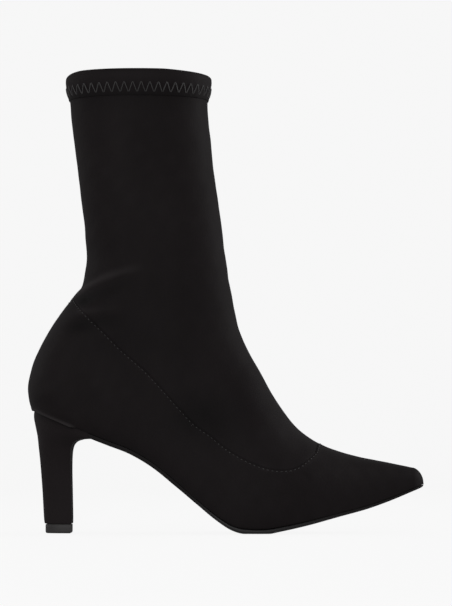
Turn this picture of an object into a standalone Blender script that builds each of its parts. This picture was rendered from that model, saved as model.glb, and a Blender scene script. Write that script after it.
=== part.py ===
"""A pointed sock boot on a slim covered heel, for the right foot.

The boot stands on the floor at z = 0, with its toe along +X, its outer side towards -Y and its inner
side towards +Y.  Every form comes from one family of sections.  A section is a loop in a plane that
crosses the boot from a base point, on the feather line of the sole or on the back of the leg, to a ridge
point, on the top of the foot or on the front of the leg.  The planes fan from upright at the toe to level
at the collar.
"""

import math

import bmesh
import bpy
import numpy as np

# Driving sizes, in millimetres
LENGTH = 250.5  # back of the heel to the tip of the toe
BOOT_HEIGHT = 291.0  # floor to the top of the collar
HEEL_HEIGHT = 77.4  # floor to the back of the heel seat
BALL_WIDTH = 79.0  # across the upper at the ball of the foot
INSTEP_SPAN = 92.0  # from the sole's waist to the ridge of the instep
COLLAR_DEPTH = 89.0  # back to front across the shaft, under the collar band
WALL = 1.8  # stretch cloth with its bonded lining

MM = 0.001  # the tables are in millimetres and shares, and Blender works in metres
GAP = 0.3  # clearance between pieces that meet
SHAFT_HEIGHT = BOOT_HEIGHT - HEEL_HEIGHT

# Side view and plan of the sole.  along: share of LENGTH, from the back of the heel.  feather: height of
# the edge where the upper meets the sole, share of HEEL_HEIGHT.  thick: height of the sole, millimetres.
# lateral, medial: half width of the feather line, share of BALL_WIDTH.
SOLE_COLUMNS = ("along", "feather", "thick", "lateral", "medial")
SOLE_ROWS = (
    (0.012, 1.000, 2.4, 0.335, 0.329),
    (0.125, 0.852, 2.4, 0.335, 0.326),
    (0.200, 0.757, 2.4, 0.313, 0.285),
    (0.260, 0.682, 2.5, 0.302, 0.256),
    (0.320, 0.568, 2.8, 0.312, 0.256),
    (0.380, 0.411, 3.1, 0.340, 0.282),
    (0.430, 0.271, 3.3, 0.380, 0.318),
    (0.480, 0.142, 3.5, 0.420, 0.362),
    (0.512, 0.077, 3.6, 0.438, 0.390),
    (0.535, 0.052, 3.7, 0.447, 0.410),
    (0.560, 0.0435, 3.7, 0.452, 0.424),
    (0.600, 0.0435, 3.7, 0.450, 0.438),
    (0.640, 0.064, 3.4, 0.436, 0.440),
    (0.700, 0.104, 3.2, 0.390, 0.400),
    (0.780, 0.168, 2.8, 0.312, 0.322),
    (0.860, 0.233, 2.4, 0.220, 0.226),
    (0.920, 0.298, 2.1, 0.149, 0.151),
    (0.967, 0.358, 1.9, 0.098, 0.098),
    (1.000, 0.400, 1.7, 0.060, 0.060),
)
NOSE_ALONG = 0.967  # ahead of this the outline is the quarter ellipse of the toe
HEEL_TURN_ALONG = 0.125  # behind this the outline is the round of the heel seat
SEAT_BACK_ALONG = 0.012
HEEL_ROUND = (HEEL_TURN_ALONG - SEAT_BACK_ALONG) * LENGTH
SWING = 4.0  # how far the toe leans to the inner side
SWING_FROM = 0.45  # where that curve starts, share of LENGTH

# Sections that stand on the feather line.  span: base to ridge, share of INSTEP_SPAN.  lean: degrees from
# upright, towards the toe.  lateral, medial: largest half width, share of BALL_WIDTH.  belly: where along
# the span that width is reached.  crest: length of the rounding under the ridge, share of INSTEP_SPAN.
FOOT_COLUMNS = ("along", "span", "lean", "lateral", "medial", "belly", "crest")
FOOT_ROWS = (
    (0.967, 0.150, 0.0, 0.120, 0.120, 0.42, 0.087),  # root of the toe
    (0.903, 0.253, 0.0, 0.196, 0.198, 0.40, 0.152),  # toe box
    (0.834, 0.345, 1.9, 0.282, 0.287, 0.38, 0.214),  # point of the vamp
    (0.756, 0.446, 7.7, 0.374, 0.382, 0.36, 0.285),  # vamp
    (0.672, 0.579, 13.6, 0.457, 0.460, 0.34, 0.380),  # front of the ball
    (0.588, 0.739, 18.4, 0.496, 0.493, 0.32, 0.490),  # ball
    (0.504, 0.896, 22.0, 0.491, 0.468, 0.31, 0.585),  # back of the ball
    (0.420, 0.969, 27.7, 0.453, 0.424, 0.32, 0.640),  # front of the waist
    (0.329, 1.001, 38.4, 0.416, 0.392, 0.34, 0.660),  # waist
    (0.233, 1.137, 46.1, 0.396, 0.383, 0.32, 0.674),  # arch
    (0.141, 1.327, 51.4, 0.393, 0.384, 0.28, 0.674),  # heel breast
    (0.061, 1.500, 55.4, 0.393, 0.386, 0.25, 0.668),  # heel seat
    (0.012, 1.605, 57.6, 0.391, 0.386, 0.23, 0.663),  # back of the seat
)

# Closed sections above the heel seat.  rise: height of the base above the back of the seat, share of
# SHAFT_HEIGHT.  span, round, crest: base to ridge, and the lengths of the rounded back and of the rounded
# front, shares of COLLAR_DEPTH.
LEG_COLUMNS = ("along", "rise", "span", "lean", "lateral", "medial", "belly", "round", "crest")
LEG_ROWS = (
    (0.000, 0.052, 1.639, 60.4, 0.388, 0.384, 0.24, 0.320, 0.679),  # fullest point of the heel
    (0.011, 0.132, 1.547, 63.7, 0.384, 0.381, 0.26, 0.325, 0.663),  # counter
    (0.046, 0.221, 1.389, 66.8, 0.379, 0.377, 0.29, 0.335, 0.640),  # top of the counter
    (0.095, 0.307, 1.204, 69.2, 0.371, 0.371, 0.34, 0.360, 0.607),  # end of the vamp seam
    (0.130, 0.353, 1.088, 69.6, 0.366, 0.366, 0.38, 0.385, 0.579),  # fold behind the ankle
    (0.144, 0.424, 1.021, 71.3, 0.364, 0.364, 0.43, 0.420, 0.539),  # ankle
    (0.143, 0.522, 0.983, 73.6, 0.368, 0.368, 0.47, 0.455, 0.511),  # above the ankle
    (0.132, 0.632, 0.969, 77.5, 0.380, 0.380, 0.50, 0.480, 0.489),  # low shaft
    (0.120, 0.747, 0.970, 82.3, 0.395, 0.395, 0.50, 0.490, 0.483),  # middle of the shaft
    (0.108, 0.855, 0.978, 87.4, 0.405, 0.405, 0.50, 0.495, 0.488),  # high shaft
    (0.101, 0.925, 0.998, 90.0, 0.412, 0.412, 0.50, 0.500, 0.499),  # lower edge of the band
    (0.100, 0.990, 1.002, 90.0, 0.416, 0.416, 0.50, 0.500, 0.501),  # cut edge at the collar
)
ROUNDNESS = 2.2  # exponent of the sections' quarters and of the round back: 2 is an ellipse
TUCK_FADE = 14.0  # height over which the turned-in edge fades up the back of the heel
NOSE_TAPER = 0.22  # share by which the toe narrows over its nose, besides the round

# Heel block: each row is a ring from its back point to its breast point.  along: share of LENGTH, rise:
# share of HEEL_HEIGHT, half: half width, share of BALL_WIDTH.  The seat itself comes from the sole's rows.
HEEL_COLUMNS = ("back_along", "back_rise", "front_along", "front_rise", "half")
HEEL_ROWS = (
    (0.0155, 0.924, 0.1555, 0.768, 0.322),  # under the seat, with the forward lip
    (0.0200, 0.853, 0.1372, 0.764, 0.292),  # lip
    (0.0240, 0.788, 0.1194, 0.740, 0.247),  # cup
    (0.0268, 0.704, 0.1112, 0.680, 0.198),  # neck
    (0.0313, 0.569, 0.1098, 0.543, 0.152),  # top of the stem
    (0.0368, 0.349, 0.1113, 0.349, 0.129),  # stem
    (0.0414, 0.108, 0.1128, 0.104, 0.119),  # foot of the stem
    (0.0454, 0.077, 0.1106, 0.077, 0.110),  # rounded lower edge
)
HEEL_FRONT_ALONG = 0.157  # front of the lip, where the outsole begins
BREAST_HOLLOW = 0.7  # depth of the hollow down the breast

TOP_PIECE_HEIGHT = 5.65
TOP_PIECE_BACK, TOP_PIECE_FRONT, TOP_PIECE_HALF = 0.0450, 0.1115, 0.109
TOP_PIECE_CHAMFER = 0.9

INSOLE_THICK = 2.0
SEATING = 0.1  # lift of the insole, so that its facets clear the sole's where the foot bends
SOLE_TIP_ALONG = 0.9995
SOLE_MARGIN = 0.8  # how far the sole stands out past the feather line
SOLE_BEVEL = 1.6  # width of the slope between the sole's side and its tread
SOLE_BEVEL_LIMIT = 0.2  # the most of the sole's width that the slope takes, near the toe
SOLE_BEVEL_RISE = 0.40  # height of the slope, share of the sole's thickness
SOLE_EDGE_LIFT = 0.18  # how far the tread rises towards its sides, share of the thickness
TREAD_SHARE = 0.62  # level share of the sole's underside, across

BAND_CLOTH = 1.3  # one thickness of the turned hem
BAND_DROP = 17.0  # height of the hem
BAND_ROUND = 0.6 * BAND_CLOTH  # rounding of the hem's edges

# Facets
GIRTH_STEPS = 32
NOSE_STEPS = 5
FOOT_STEPS = 33
LEG_STEPS = 19
SOLE_STATIONS = 44
HEEL_ARC_STEPS = 20
BREAST_STEPS = 4
HEEL_RINGS = 15
PATH_SAMPLES = 300  # points on a path whose length is measured
WELD = 1e-6  # metres: points closer than this are one
TINY = 1e-6  # millimetres: smallest width, where a section shrinks to a point

# sharp: degrees between faces above which an edge is drawn sharp
PIECE_COLUMNS = ("node", "finish", "colour", "roughness", "sharp")
PIECE_ROWS = (
    ("upper", "black_stretch_suede", (0.010, 0.009, 0.010), 0.90, 60.0),
    ("collar_band", "black_hem", (0.011, 0.010, 0.010), 0.88, 50.0),
    ("insole", "black_insole_cloth", (0.016, 0.015, 0.015), 0.80, 40.0),
    ("outsole", "black_sole_rubber", (0.018, 0.017, 0.018), 0.45, 30.0),
    ("heel", "black_heel_cover", (0.010, 0.009, 0.009), 0.88, 40.0),
    ("heel_top_piece", "dark_grey_lift_rubber", (0.045, 0.042, 0.043), 0.50, 30.0),
)


def column(rows, columns, name):
    return np.array([row[columns.index(name)] for row in rows], float)


def smooth(at, knots, values):
    """Piecewise cubic through the values at the knots, each knot's slope read from its neighbours."""
    knots, values = np.asarray(knots, float), np.asarray(values, float)
    slopes = np.gradient(values, knots)
    at = np.clip(at, knots[0], knots[-1])
    left = np.clip(np.searchsorted(knots, at, side="right") - 1, 0, len(knots) - 2)
    width = knots[left + 1] - knots[left]
    t = (at - knots[left]) / width
    return (
        values[left] * (1 + 2 * t) * (1 - t) ** 2
        + values[left + 1] * t * t * (3 - 2 * t)
        + slopes[left] * width * t * (1 - t) ** 2
        - slopes[left + 1] * width * t * t * (1 - t)
    )


def x_of(along):
    """The boot's middle is x = 0."""
    return (np.asarray(along, float) - 0.5) * LENGTH


def sole_value(along, name):
    return smooth(along, column(SOLE_ROWS, SOLE_COLUMNS, "along"), column(SOLE_ROWS, SOLE_COLUMNS, name))


def feather_height(along):
    return sole_value(along, "feather") * HEEL_HEIGHT


def swing(along):
    """Sideways place of the boot's curved middle line."""
    share = np.clip((np.asarray(along, float) - SWING_FROM) / (1 - SWING_FROM), 0, 1)
    return SWING * share**2


def nose_share(along):
    """How much of the toe's width and height is left towards the tip: a taper times a quarter ellipse."""
    ahead = np.clip((np.asarray(along, float) - NOSE_ALONG) / (1 - NOSE_ALONG), 0, 1)
    return (1 - NOSE_TAPER * ahead) * np.sqrt(1 - ahead**2)


def rounded_end(distance, length):
    """Share of the full width at a distance from a rounded end of a given length: a superellipse."""
    short = np.clip(1 - np.asarray(distance, float) / length, 0, 1)
    return (1 - short**ROUNDNESS) ** (1 / ROUNDNESS)


def plan_half_width(along, side):
    """Half width of the feather line, rounded off at the toe only."""
    within = np.clip(along, HEEL_TURN_ALONG, NOSE_ALONG)
    return sole_value(within, side) * BALL_WIDTH * nose_share(along)


def feather_half_width(along, side):
    """Half width of the feather line, rounded off at the toe and behind the heel."""
    along = np.asarray(along, float)
    back = rounded_end((along - SEAT_BACK_ALONG) * LENGTH, HEEL_ROUND)
    return plan_half_width(along, side) * back


def nose_rows():
    """Copies of the toe's first section that shrink to the tip."""
    _, span, lean, lateral, medial, belly, crest = FOOT_ROWS[0]
    rows = []
    for step in range(NOSE_STEPS):
        along = NOSE_ALONG + (1 - NOSE_ALONG) * math.cos(math.pi / 2 * step / NOSE_STEPS)
        share = float(nose_share(along))
        rows.append((along, span * share, lean, lateral * share, medial * share, belly, crest * share))
    return rows


class Form:
    """The boot's sections, as smooth functions of one parameter that runs from the toe to the collar."""

    def __init__(self):
        foot = nose_rows() + list(FOOT_ROWS)
        self.along = np.concatenate(
            [column(foot, FOOT_COLUMNS, "along"), column(LEG_ROWS, LEG_COLUMNS, "along")]
        )
        self.base_z = np.concatenate(
            [
                feather_height(column(foot, FOOT_COLUMNS, "along")),
                HEEL_HEIGHT + column(LEG_ROWS, LEG_COLUMNS, "rise") * SHAFT_HEIGHT,
            ]
        )
        span = np.concatenate(
            [
                column(foot, FOOT_COLUMNS, "span") * INSTEP_SPAN,
                column(LEG_ROWS, LEG_COLUMNS, "span") * COLLAR_DEPTH,
            ]
        )
        lean = np.radians(self.joined(foot, "lean"))
        self.ridge_x = x_of(self.along) + span * np.sin(lean)
        self.ridge_z = self.base_z + span * np.cos(lean)
        self.width = {side: self.joined(foot, side) * BALL_WIDTH for side in ("lateral", "medial")}
        belly = self.joined(foot, "belly")
        self.belly_x = x_of(self.along) + belly * (self.ridge_x - x_of(self.along))
        self.belly_z = self.base_z + belly * (self.ridge_z - self.base_z)
        leg_round = column(LEG_ROWS, LEG_COLUMNS, "round") * COLLAR_DEPTH
        self.round = np.concatenate([np.full(len(foot), HEEL_ROUND), leg_round])
        foot_crest = column(foot, FOOT_COLUMNS, "crest") * INSTEP_SPAN
        leg_crest = column(LEG_ROWS, LEG_COLUMNS, "crest") * COLLAR_DEPTH
        self.crest = np.concatenate([foot_crest, leg_crest])
        self.back_x, self.back_z = x_of(self.along)[len(foot) - 1 :], self.base_z[len(foot) - 1 :]
        base_step = np.hypot(np.diff(x_of(self.along)), np.diff(self.base_z))
        ridge_step = np.hypot(np.diff(self.ridge_x), np.diff(self.ridge_z))
        self.knots = np.concatenate([[0.0], np.cumsum(np.maximum(base_step, ridge_step))])
        self.toe_root = self.knots[NOSE_STEPS]
        self.seat_end = self.knots[len(foot) - 1]
        self.collar = self.knots[-1]

    @staticmethod
    def joined(foot, name):
        return np.concatenate([column(foot, FOOT_COLUMNS, name), column(LEG_ROWS, LEG_COLUMNS, name)])

    def base_edge(self, along, base_z, width, side):
        """Half width at the base, before the back is rounded off.  On the foot it is the feather line's.
        Up the back of the heel the turned-in edge fades out."""
        turned_in = 1 - plan_half_width(along, side) / width
        return width * (1 - turned_in * math.exp(-max(base_z - HEEL_HEIGHT, 0.0) / TUCK_FADE))

    def point(self, p, share, side, grow=0.0):
        """Point of the section p on one side, at a share from -1 (base) over 0 (belly) to 1 (ridge): two
        quarters of superellipses, narrowed towards the back of the heel and leg by the same curve.
        grow moves the whole section outwards."""
        along = float(smooth(p, self.knots, self.along))
        on_foot = p <= self.seat_end
        base_z = float(feather_height(along) if on_foot else smooth(p, self.knots, self.base_z))
        base = np.array([x_of(along), base_z])
        belly = np.array([smooth(p, self.knots, self.belly_x), smooth(p, self.knots, self.belly_z)])
        ridge = np.array([smooth(p, self.knots, self.ridge_x), smooth(p, self.knots, self.ridge_z)])
        up = (ridge - base) / max(np.hypot(*(ridge - base)), TINY)
        width = max(float(smooth(p, self.knots, self.width[side])) + grow, TINY)
        power = 2 / ROUNDNESS
        angle = abs(share) * math.pi / 2
        out, climb = max(math.cos(angle), 0.0) ** power, math.sin(angle) ** power
        if share < 0:
            edge = self.base_edge(along, base_z, width, side)
            reach = edge + (width - edge) * out
            x, z = belly + (base - up * grow - belly) * climb
        else:
            top = ridge + up * grow - belly
            crest = max(float(smooth(p, self.knots, self.crest)) + grow, TINY)
            reach = width * float(rounded_end(np.hypot(*top) * (1 - climb), crest))
            x, z = belly + top * climb
        from_back = x - self.back_at(z) + grow
        if not on_foot:
            from_back -= base[0] - self.back_at(base_z)
        reach *= float(rounded_end(from_back, float(smooth(p, self.knots, self.round)) + grow))
        y = float(swing(along)) + (reach if side == "medial" else -reach)
        return np.array([x, y, z])

    def back_at(self, z):
        """How far back the heel and leg reach at a height."""
        return float(smooth(z, self.back_z, self.back_x))

    def even_rows(self, first, last, steps):
        """Parameters of rows that lie about evenly along the feather line, the back and the ridge."""
        fine = np.linspace(first, last, PATH_SAMPLES)
        base = np.array([self.point(p, -1, "lateral") for p in fine])
        ridge = np.array([self.point(p, 1, "lateral") for p in fine])
        moved = np.maximum(
            np.linalg.norm(np.diff(base, axis=0), axis=1), np.linalg.norm(np.diff(ridge, axis=0), axis=1)
        )
        travelled = np.concatenate([[0.0], np.cumsum(moved)])
        return np.interp(np.linspace(0, travelled[-1], steps + 1), travelled, fine)

    def rows(self):
        """Parameters of the wall's rows: the toe's nose, the foot and the leg."""
        foot = self.even_rows(self.toe_root, self.seat_end, FOOT_STEPS)
        leg = self.even_rows(self.seat_end, self.collar, LEG_STEPS)
        return np.concatenate([self.knots[:NOSE_STEPS], foot, leg[1:]])


FORM = Form()


def girth_share(step):
    """Share and side at a step round a section, from one base edge over the ridge to the other."""
    across = step / GIRTH_STEPS
    return 1 - 2 * abs(2 * across - 1), "lateral" if across < 0.5 else "medial"


def clear_scene():
    for old in list(bpy.data.objects):
        bpy.data.objects.remove(old)


def grid_mesh(name, across, along, place, wrap_ends):
    """A grid whose point (i, j) sits at place(i, j).  Points that fall together are welded, and with
    wrap_ends the two open ends are closed with a face."""
    form = bmesh.new()
    bmesh.ops.create_grid(form, x_segments=across, y_segments=along, size=1.0)
    for vert in form.verts:
        i = round((vert.co.x + 1) / 2 * across)
        j = round((vert.co.y + 1) / 2 * along)
        vert.co = [float(v) * MM for v in place(i, j)]
    bmesh.ops.remove_doubles(form, verts=form.verts, dist=WELD)
    if wrap_ends:
        rims = [edge for edge in form.edges if edge.is_boundary]
        bmesh.ops.holes_fill(form, edges=rims, sides=0)
        bmesh.ops.recalc_face_normals(form, faces=form.faces)
    mesh = bpy.data.meshes.new(name)
    form.to_mesh(mesh)
    form.free()
    return mesh


def ring_loft(name, rings):
    """A closed skin over rings with equal numbers of points, capped at both ends."""
    count = len(rings[0])
    return grid_mesh(name, count, len(rings) - 1, lambda i, j: rings[j][i % count], wrap_ends=True)


def material(name, colour, roughness):
    made = bpy.data.materials.new(name)
    made.use_nodes = True
    shader = made.node_tree.nodes["Principled BSDF"]
    shader.inputs["Base Color"].default_value = (*colour, 1.0)
    shader.inputs["Roughness"].default_value = roughness
    shader.inputs["Metallic"].default_value = 0.0
    return made


def add_piece(name, mesh, finish, sharp):
    piece = bpy.data.objects.new(name, mesh)
    mesh.materials.append(finish)
    mesh.shade_smooth()
    mesh.set_sharp_from_angle(angle=math.radians(sharp))
    return piece


def upper_mesh():
    """The outer face of the wall: one sheet from feather edge to feather edge, sewn up the back."""
    rows = FORM.rows()

    def place(i, j):
        return FORM.point(rows[j], *girth_share(i))

    return grid_mesh("upper", GIRTH_STEPS, len(rows) - 1, place, wrap_ends=False)


def band_mesh():
    """The hem: a folded strip that goes over the cut edge of the shaft."""
    cut_edge = HEEL_HEIGHT + LEG_ROWS[-1][LEG_COLUMNS.index("rise")] * SHAFT_HEIGHT
    low = BOOT_HEIGHT - BAND_DROP
    outer, inner = GAP + BAND_CLOTH, -WALL - GAP - BAND_CLOTH
    fold = (
        (GAP, low),
        (outer - BAND_ROUND, low),
        (outer, low + BAND_ROUND),
        (outer, BOOT_HEIGHT - 2 * BAND_ROUND),
        (outer - BAND_ROUND, BOOT_HEIGHT - BAND_ROUND / 2),
        (-WALL / 2, BOOT_HEIGHT),
        (inner + BAND_ROUND, BOOT_HEIGHT - BAND_ROUND / 2),
        (inner, BOOT_HEIGHT - 2 * BAND_ROUND),
        (inner, low),
        (-WALL - GAP, low),
        (-WALL - GAP, cut_edge + GAP),
        (GAP, cut_edge + GAP),
    )
    heights = [FORM.base_z[-2], FORM.base_z[-1]]
    rows = [FORM.knots[-2], FORM.knots[-1]]

    def place(i, j):
        grow, z = fold[j % len(fold)]
        point = FORM.point(float(np.interp(z, heights, rows)), *girth_share(i), grow)
        point[2] = z
        return point

    return grid_mesh("collar_band", GIRTH_STEPS, len(fold), place, wrap_ends=True)


def sole_stations(first, last):
    """Shares of LENGTH, crowded towards both ends, where the outline turns fastest."""
    turns = np.linspace(0, math.pi, SOLE_STATIONS + 1)
    return first + (last - first) * (1 - np.cos(turns)) / 2


def outsole_mesh():
    """Thin sole: level across its tread, sloped to a thin side, with a flat spot under the ball."""
    rings = []
    for along in sole_stations(HEEL_FRONT_ALONG + GAP / LENGTH, SOLE_TIP_ALONG):
        top = feather_height(along) - GAP
        bottom = max(0.0, feather_height(along) - float(sole_value(along, "thick")))
        middle = float(swing(along))
        left = middle - float(feather_half_width(along, "lateral")) - SOLE_MARGIN
        right = middle + float(feather_half_width(along, "medial")) + SOLE_MARGIN
        bevel_y = min(SOLE_BEVEL, (right - left) * SOLE_BEVEL_LIMIT)
        bevel_z = (top - bottom) * SOLE_BEVEL_RISE
        tread_left = middle + (left - middle) * TREAD_SHARE
        tread_right = middle + (right - middle) * TREAD_SHARE
        edge_lift = (top - bottom) * SOLE_EDGE_LIFT
        x = float(x_of(along))
        rings.append(
            [
                (x, left, top),
                (x, middle, top),
                (x, right, top),
                (x, right, bottom + bevel_z + edge_lift),
                (x, right - bevel_y, bottom + edge_lift),
                (x, tread_right, bottom),
                (x, tread_left, bottom),
                (x, left + bevel_y, bottom + edge_lift),
                (x, left, bottom + bevel_z + edge_lift),
            ]
        )
    return ring_loft("outsole", rings)


def insole_mesh():
    """Board that lies on the sole and the heel, inside the turned edge of the upper."""
    rings = []
    inset = WALL + 2 * GAP
    first, last = SEAT_BACK_ALONG + inset / LENGTH, 1 - inset / LENGTH
    for along in sole_stations(first, last):
        outline_along = SEAT_BACK_ALONG + (along - first) / (last - first) * (1 - SEAT_BACK_ALONG)
        bottom = feather_height(along) + SEATING
        middle = float(swing(along))
        left = middle - max(GAP, float(feather_half_width(outline_along, "lateral")) - inset)
        right = middle + max(GAP, float(feather_half_width(outline_along, "medial")) - inset)
        x = float(x_of(along))
        rings.append(
            [
                (x, left, bottom),
                (x, right, bottom),
                (x, right, bottom + INSOLE_THICK),
                (x, middle, bottom + INSOLE_THICK),
                (x, left, bottom + INSOLE_THICK),
            ]
        )
    return ring_loft("insole", rings)


def heel_arc():
    """Angles round the back of a heel ring, from one breast corner to the other."""
    return np.linspace(-math.pi / 2, math.pi / 2, HEEL_ARC_STEPS + 1)


def d_ring(back, front, half, height_at):
    """A ring with a round back and a slightly hollow breast, at the height that height_at gives."""
    power = 2 / ROUNDNESS
    ring = []
    for turn in heel_arc():
        x = front - (front - back) * math.cos(turn) ** power
        y = half * math.copysign(abs(math.sin(turn)) ** power, turn)
        ring.append((x, y, height_at(x)))
    for step in range(1, BREAST_STEPS):
        share = step / BREAST_STEPS
        x = front - BREAST_HOLLOW * math.sin(math.pi * share)
        ring.append((x, half * (1 - 2 * share), height_at(x)))
    return ring


def seat_ring():
    """The heel's top: the sole's own outline behind the breast, just under the feather line."""
    front, back = HEEL_FRONT_ALONG, SEAT_BACK_ALONG
    ring = []
    for turn in heel_arc():
        along = front - (front - back) * math.cos(turn) ** (2 / ROUNDNESS)
        half = float(feather_half_width(along, "lateral" if turn < 0 else "medial"))
        ring.append((float(x_of(along)), math.copysign(half, turn), feather_height(along) - GAP))
    first, last = ring[-1], ring[0]
    for step in range(1, BREAST_STEPS):
        share = step / BREAST_STEPS
        ring.append((first[0], first[1] + (last[1] - first[1]) * share, first[2]))
    return ring


def heel_mesh():
    """Covered block: a cup under the seat, drawn in to a slim stem."""
    rings = [seat_ring()]
    knots = np.arange(len(HEEL_ROWS))
    for at in np.linspace(0, knots[-1], HEEL_RINGS):
        back_along, back_rise, front_along, front_rise, half = (
            float(smooth(at, knots, column(HEEL_ROWS, HEEL_COLUMNS, name))) for name in HEEL_COLUMNS
        )
        ends = (float(x_of(back_along)), float(x_of(front_along)))
        heights = (back_rise * HEEL_HEIGHT, front_rise * HEEL_HEIGHT)
        rings.append(d_ring(*ends, half * BALL_WIDTH, lambda x: float(np.interp(x, ends, heights))))
    return ring_loft("heel", rings)


def top_piece_mesh():
    """Rubber lift, a little inside the heel's foot, with its lower edge eased."""
    back, front = float(x_of(TOP_PIECE_BACK)), float(x_of(TOP_PIECE_FRONT))
    half = TOP_PIECE_HALF * BALL_WIDTH
    ease = TOP_PIECE_CHAMFER
    rings = []
    for inset, z in ((0.0, TOP_PIECE_HEIGHT), (0.0, ease), (ease, 0.0)):
        rings.append(d_ring(back + inset, front - inset, half - inset, lambda x: z))
    return ring_loft("heel_top_piece", rings)


def add_wall(upper):
    """Gives the upper's skin its thickness, inwards."""
    wall = upper.modifiers.new("wall", "SOLIDIFY")
    wall.thickness = WALL * MM
    wall.offset = -1.0
    wall.use_rim = True


def main():
    clear_scene()
    collection = bpy.data.collections.new("sock_boot")
    bpy.context.scene.collection.children.link(collection)
    boot = bpy.data.objects.new("boot", None)
    collection.objects.link(boot)
    makers = {
        "upper": upper_mesh,
        "collar_band": band_mesh,
        "insole": insole_mesh,
        "outsole": outsole_mesh,
        "heel": heel_mesh,
        "heel_top_piece": top_piece_mesh,
    }
    for node, finish, colour, roughness, sharp in PIECE_ROWS:
        piece = add_piece(node, makers[node](), material(finish, colour, roughness), sharp)
        piece.parent = boot
        collection.objects.link(piece)
        if node == "upper":
            add_wall(piece)


main()
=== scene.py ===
# %% [markdown]
# # A pointed sock boot on a slim covered heel
#
# The real boot is two panels of black stretch suede, a foot and a sock, sewn together along one long curved
# seam and drawn over a last.  A turned hem holds the top, a thin sole and a covered heel carry it.
# This lesson rebuilds each piece as a surface worked out with numpy, around the solids of the same boot,
# which are loaded first and never moved.

# %% Load the solids
import math

import bpy
import numpy as np
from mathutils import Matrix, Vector


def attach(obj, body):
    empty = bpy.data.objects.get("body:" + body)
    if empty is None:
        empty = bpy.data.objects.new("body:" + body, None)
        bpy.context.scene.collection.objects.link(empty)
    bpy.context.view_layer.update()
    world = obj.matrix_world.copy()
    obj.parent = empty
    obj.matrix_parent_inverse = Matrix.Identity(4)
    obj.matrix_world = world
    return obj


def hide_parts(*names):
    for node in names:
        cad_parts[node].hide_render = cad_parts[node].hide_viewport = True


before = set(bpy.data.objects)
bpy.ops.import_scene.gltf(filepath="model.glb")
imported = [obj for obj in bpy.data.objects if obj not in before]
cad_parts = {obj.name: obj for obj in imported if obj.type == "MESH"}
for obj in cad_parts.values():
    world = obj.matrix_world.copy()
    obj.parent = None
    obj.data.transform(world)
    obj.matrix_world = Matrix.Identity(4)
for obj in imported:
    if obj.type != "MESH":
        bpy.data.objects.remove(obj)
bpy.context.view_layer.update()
print("solids:", ", ".join(sorted(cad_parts)))

# %% [markdown]
# ## The sizes of the last
#
# A boot is cut to a last, so all its pieces share a few sizes: length, height, width at the ball.  They
# could be typed into each piece.  Short tables of shares are better, because every piece then reads the same
# curve.  All sizes here are millimetres, and the meshes are turned into metres at the very end.

# %% Sizes
MM = 0.001
LENGTH, BOOT_HEIGHT, HEEL_HEIGHT = 250.5, 291.0, 77.4
BALL_WIDTH, INSTEP_SPAN, COLLAR_DEPTH = 79.0, 92.0, 89.0
SHAFT_HEIGHT = BOOT_HEIGHT - HEEL_HEIGHT
WALL, GAP = 1.8, 0.3
NOSE_ALONG, HEEL_TURN_ALONG, SEAT_BACK_ALONG = 0.967, 0.125, 0.012
HEEL_ROUND = (HEEL_TURN_ALONG - SEAT_BACK_ALONG) * LENGTH
SWING, SWING_FROM = 4.0, 0.45
ROUNDNESS, TUCK_FADE = 2.2, 14.0
NOSE_TAPER, NOSE_STEPS = 0.22, 5


def table(words, rows):
    """A table's columns by name, as arrays."""
    return dict(zip(words.split(), np.array(rows, float).T))


SOLE = table("along feather thick lateral medial", [
    (0.012, 1.000, 2.4, 0.335, 0.329), (0.125, 0.852, 2.4, 0.335, 0.326),
    (0.200, 0.757, 2.4, 0.313, 0.285), (0.260, 0.682, 2.5, 0.302, 0.256),
    (0.320, 0.568, 2.8, 0.312, 0.256), (0.380, 0.411, 3.1, 0.340, 0.282),
    (0.430, 0.271, 3.3, 0.380, 0.318), (0.480, 0.142, 3.5, 0.420, 0.362),
    (0.512, 0.077, 3.6, 0.438, 0.390), (0.535, 0.052, 3.7, 0.447, 0.410),
    (0.560, 0.0435, 3.7, 0.452, 0.424), (0.600, 0.0435, 3.7, 0.450, 0.438),
    (0.640, 0.064, 3.4, 0.436, 0.440), (0.700, 0.104, 3.2, 0.390, 0.400),
    (0.780, 0.168, 2.8, 0.312, 0.322), (0.860, 0.233, 2.4, 0.220, 0.226),
    (0.920, 0.298, 2.1, 0.149, 0.151), (0.967, 0.358, 1.9, 0.098, 0.098),
    (1.000, 0.400, 1.7, 0.060, 0.060),
])
FOOT = table("along span lean lateral medial belly crest", [
    (0.967, 0.150, 0.0, 0.120, 0.120, 0.42, 0.087), (0.903, 0.253, 0.0, 0.196, 0.198, 0.40, 0.152),
    (0.834, 0.345, 1.9, 0.282, 0.287, 0.38, 0.214), (0.756, 0.446, 7.7, 0.374, 0.382, 0.36, 0.285),
    (0.672, 0.579, 13.6, 0.457, 0.460, 0.34, 0.380), (0.588, 0.739, 18.4, 0.496, 0.493, 0.32, 0.490),
    (0.504, 0.896, 22.0, 0.491, 0.468, 0.31, 0.585), (0.420, 0.969, 27.7, 0.453, 0.424, 0.32, 0.640),
    (0.329, 1.001, 38.4, 0.416, 0.392, 0.34, 0.660), (0.233, 1.137, 46.1, 0.396, 0.383, 0.32, 0.674),
    (0.141, 1.327, 51.4, 0.393, 0.384, 0.28, 0.674), (0.061, 1.500, 55.4, 0.393, 0.386, 0.25, 0.668),
    (0.012, 1.605, 57.6, 0.391, 0.386, 0.23, 0.663),
])
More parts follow.
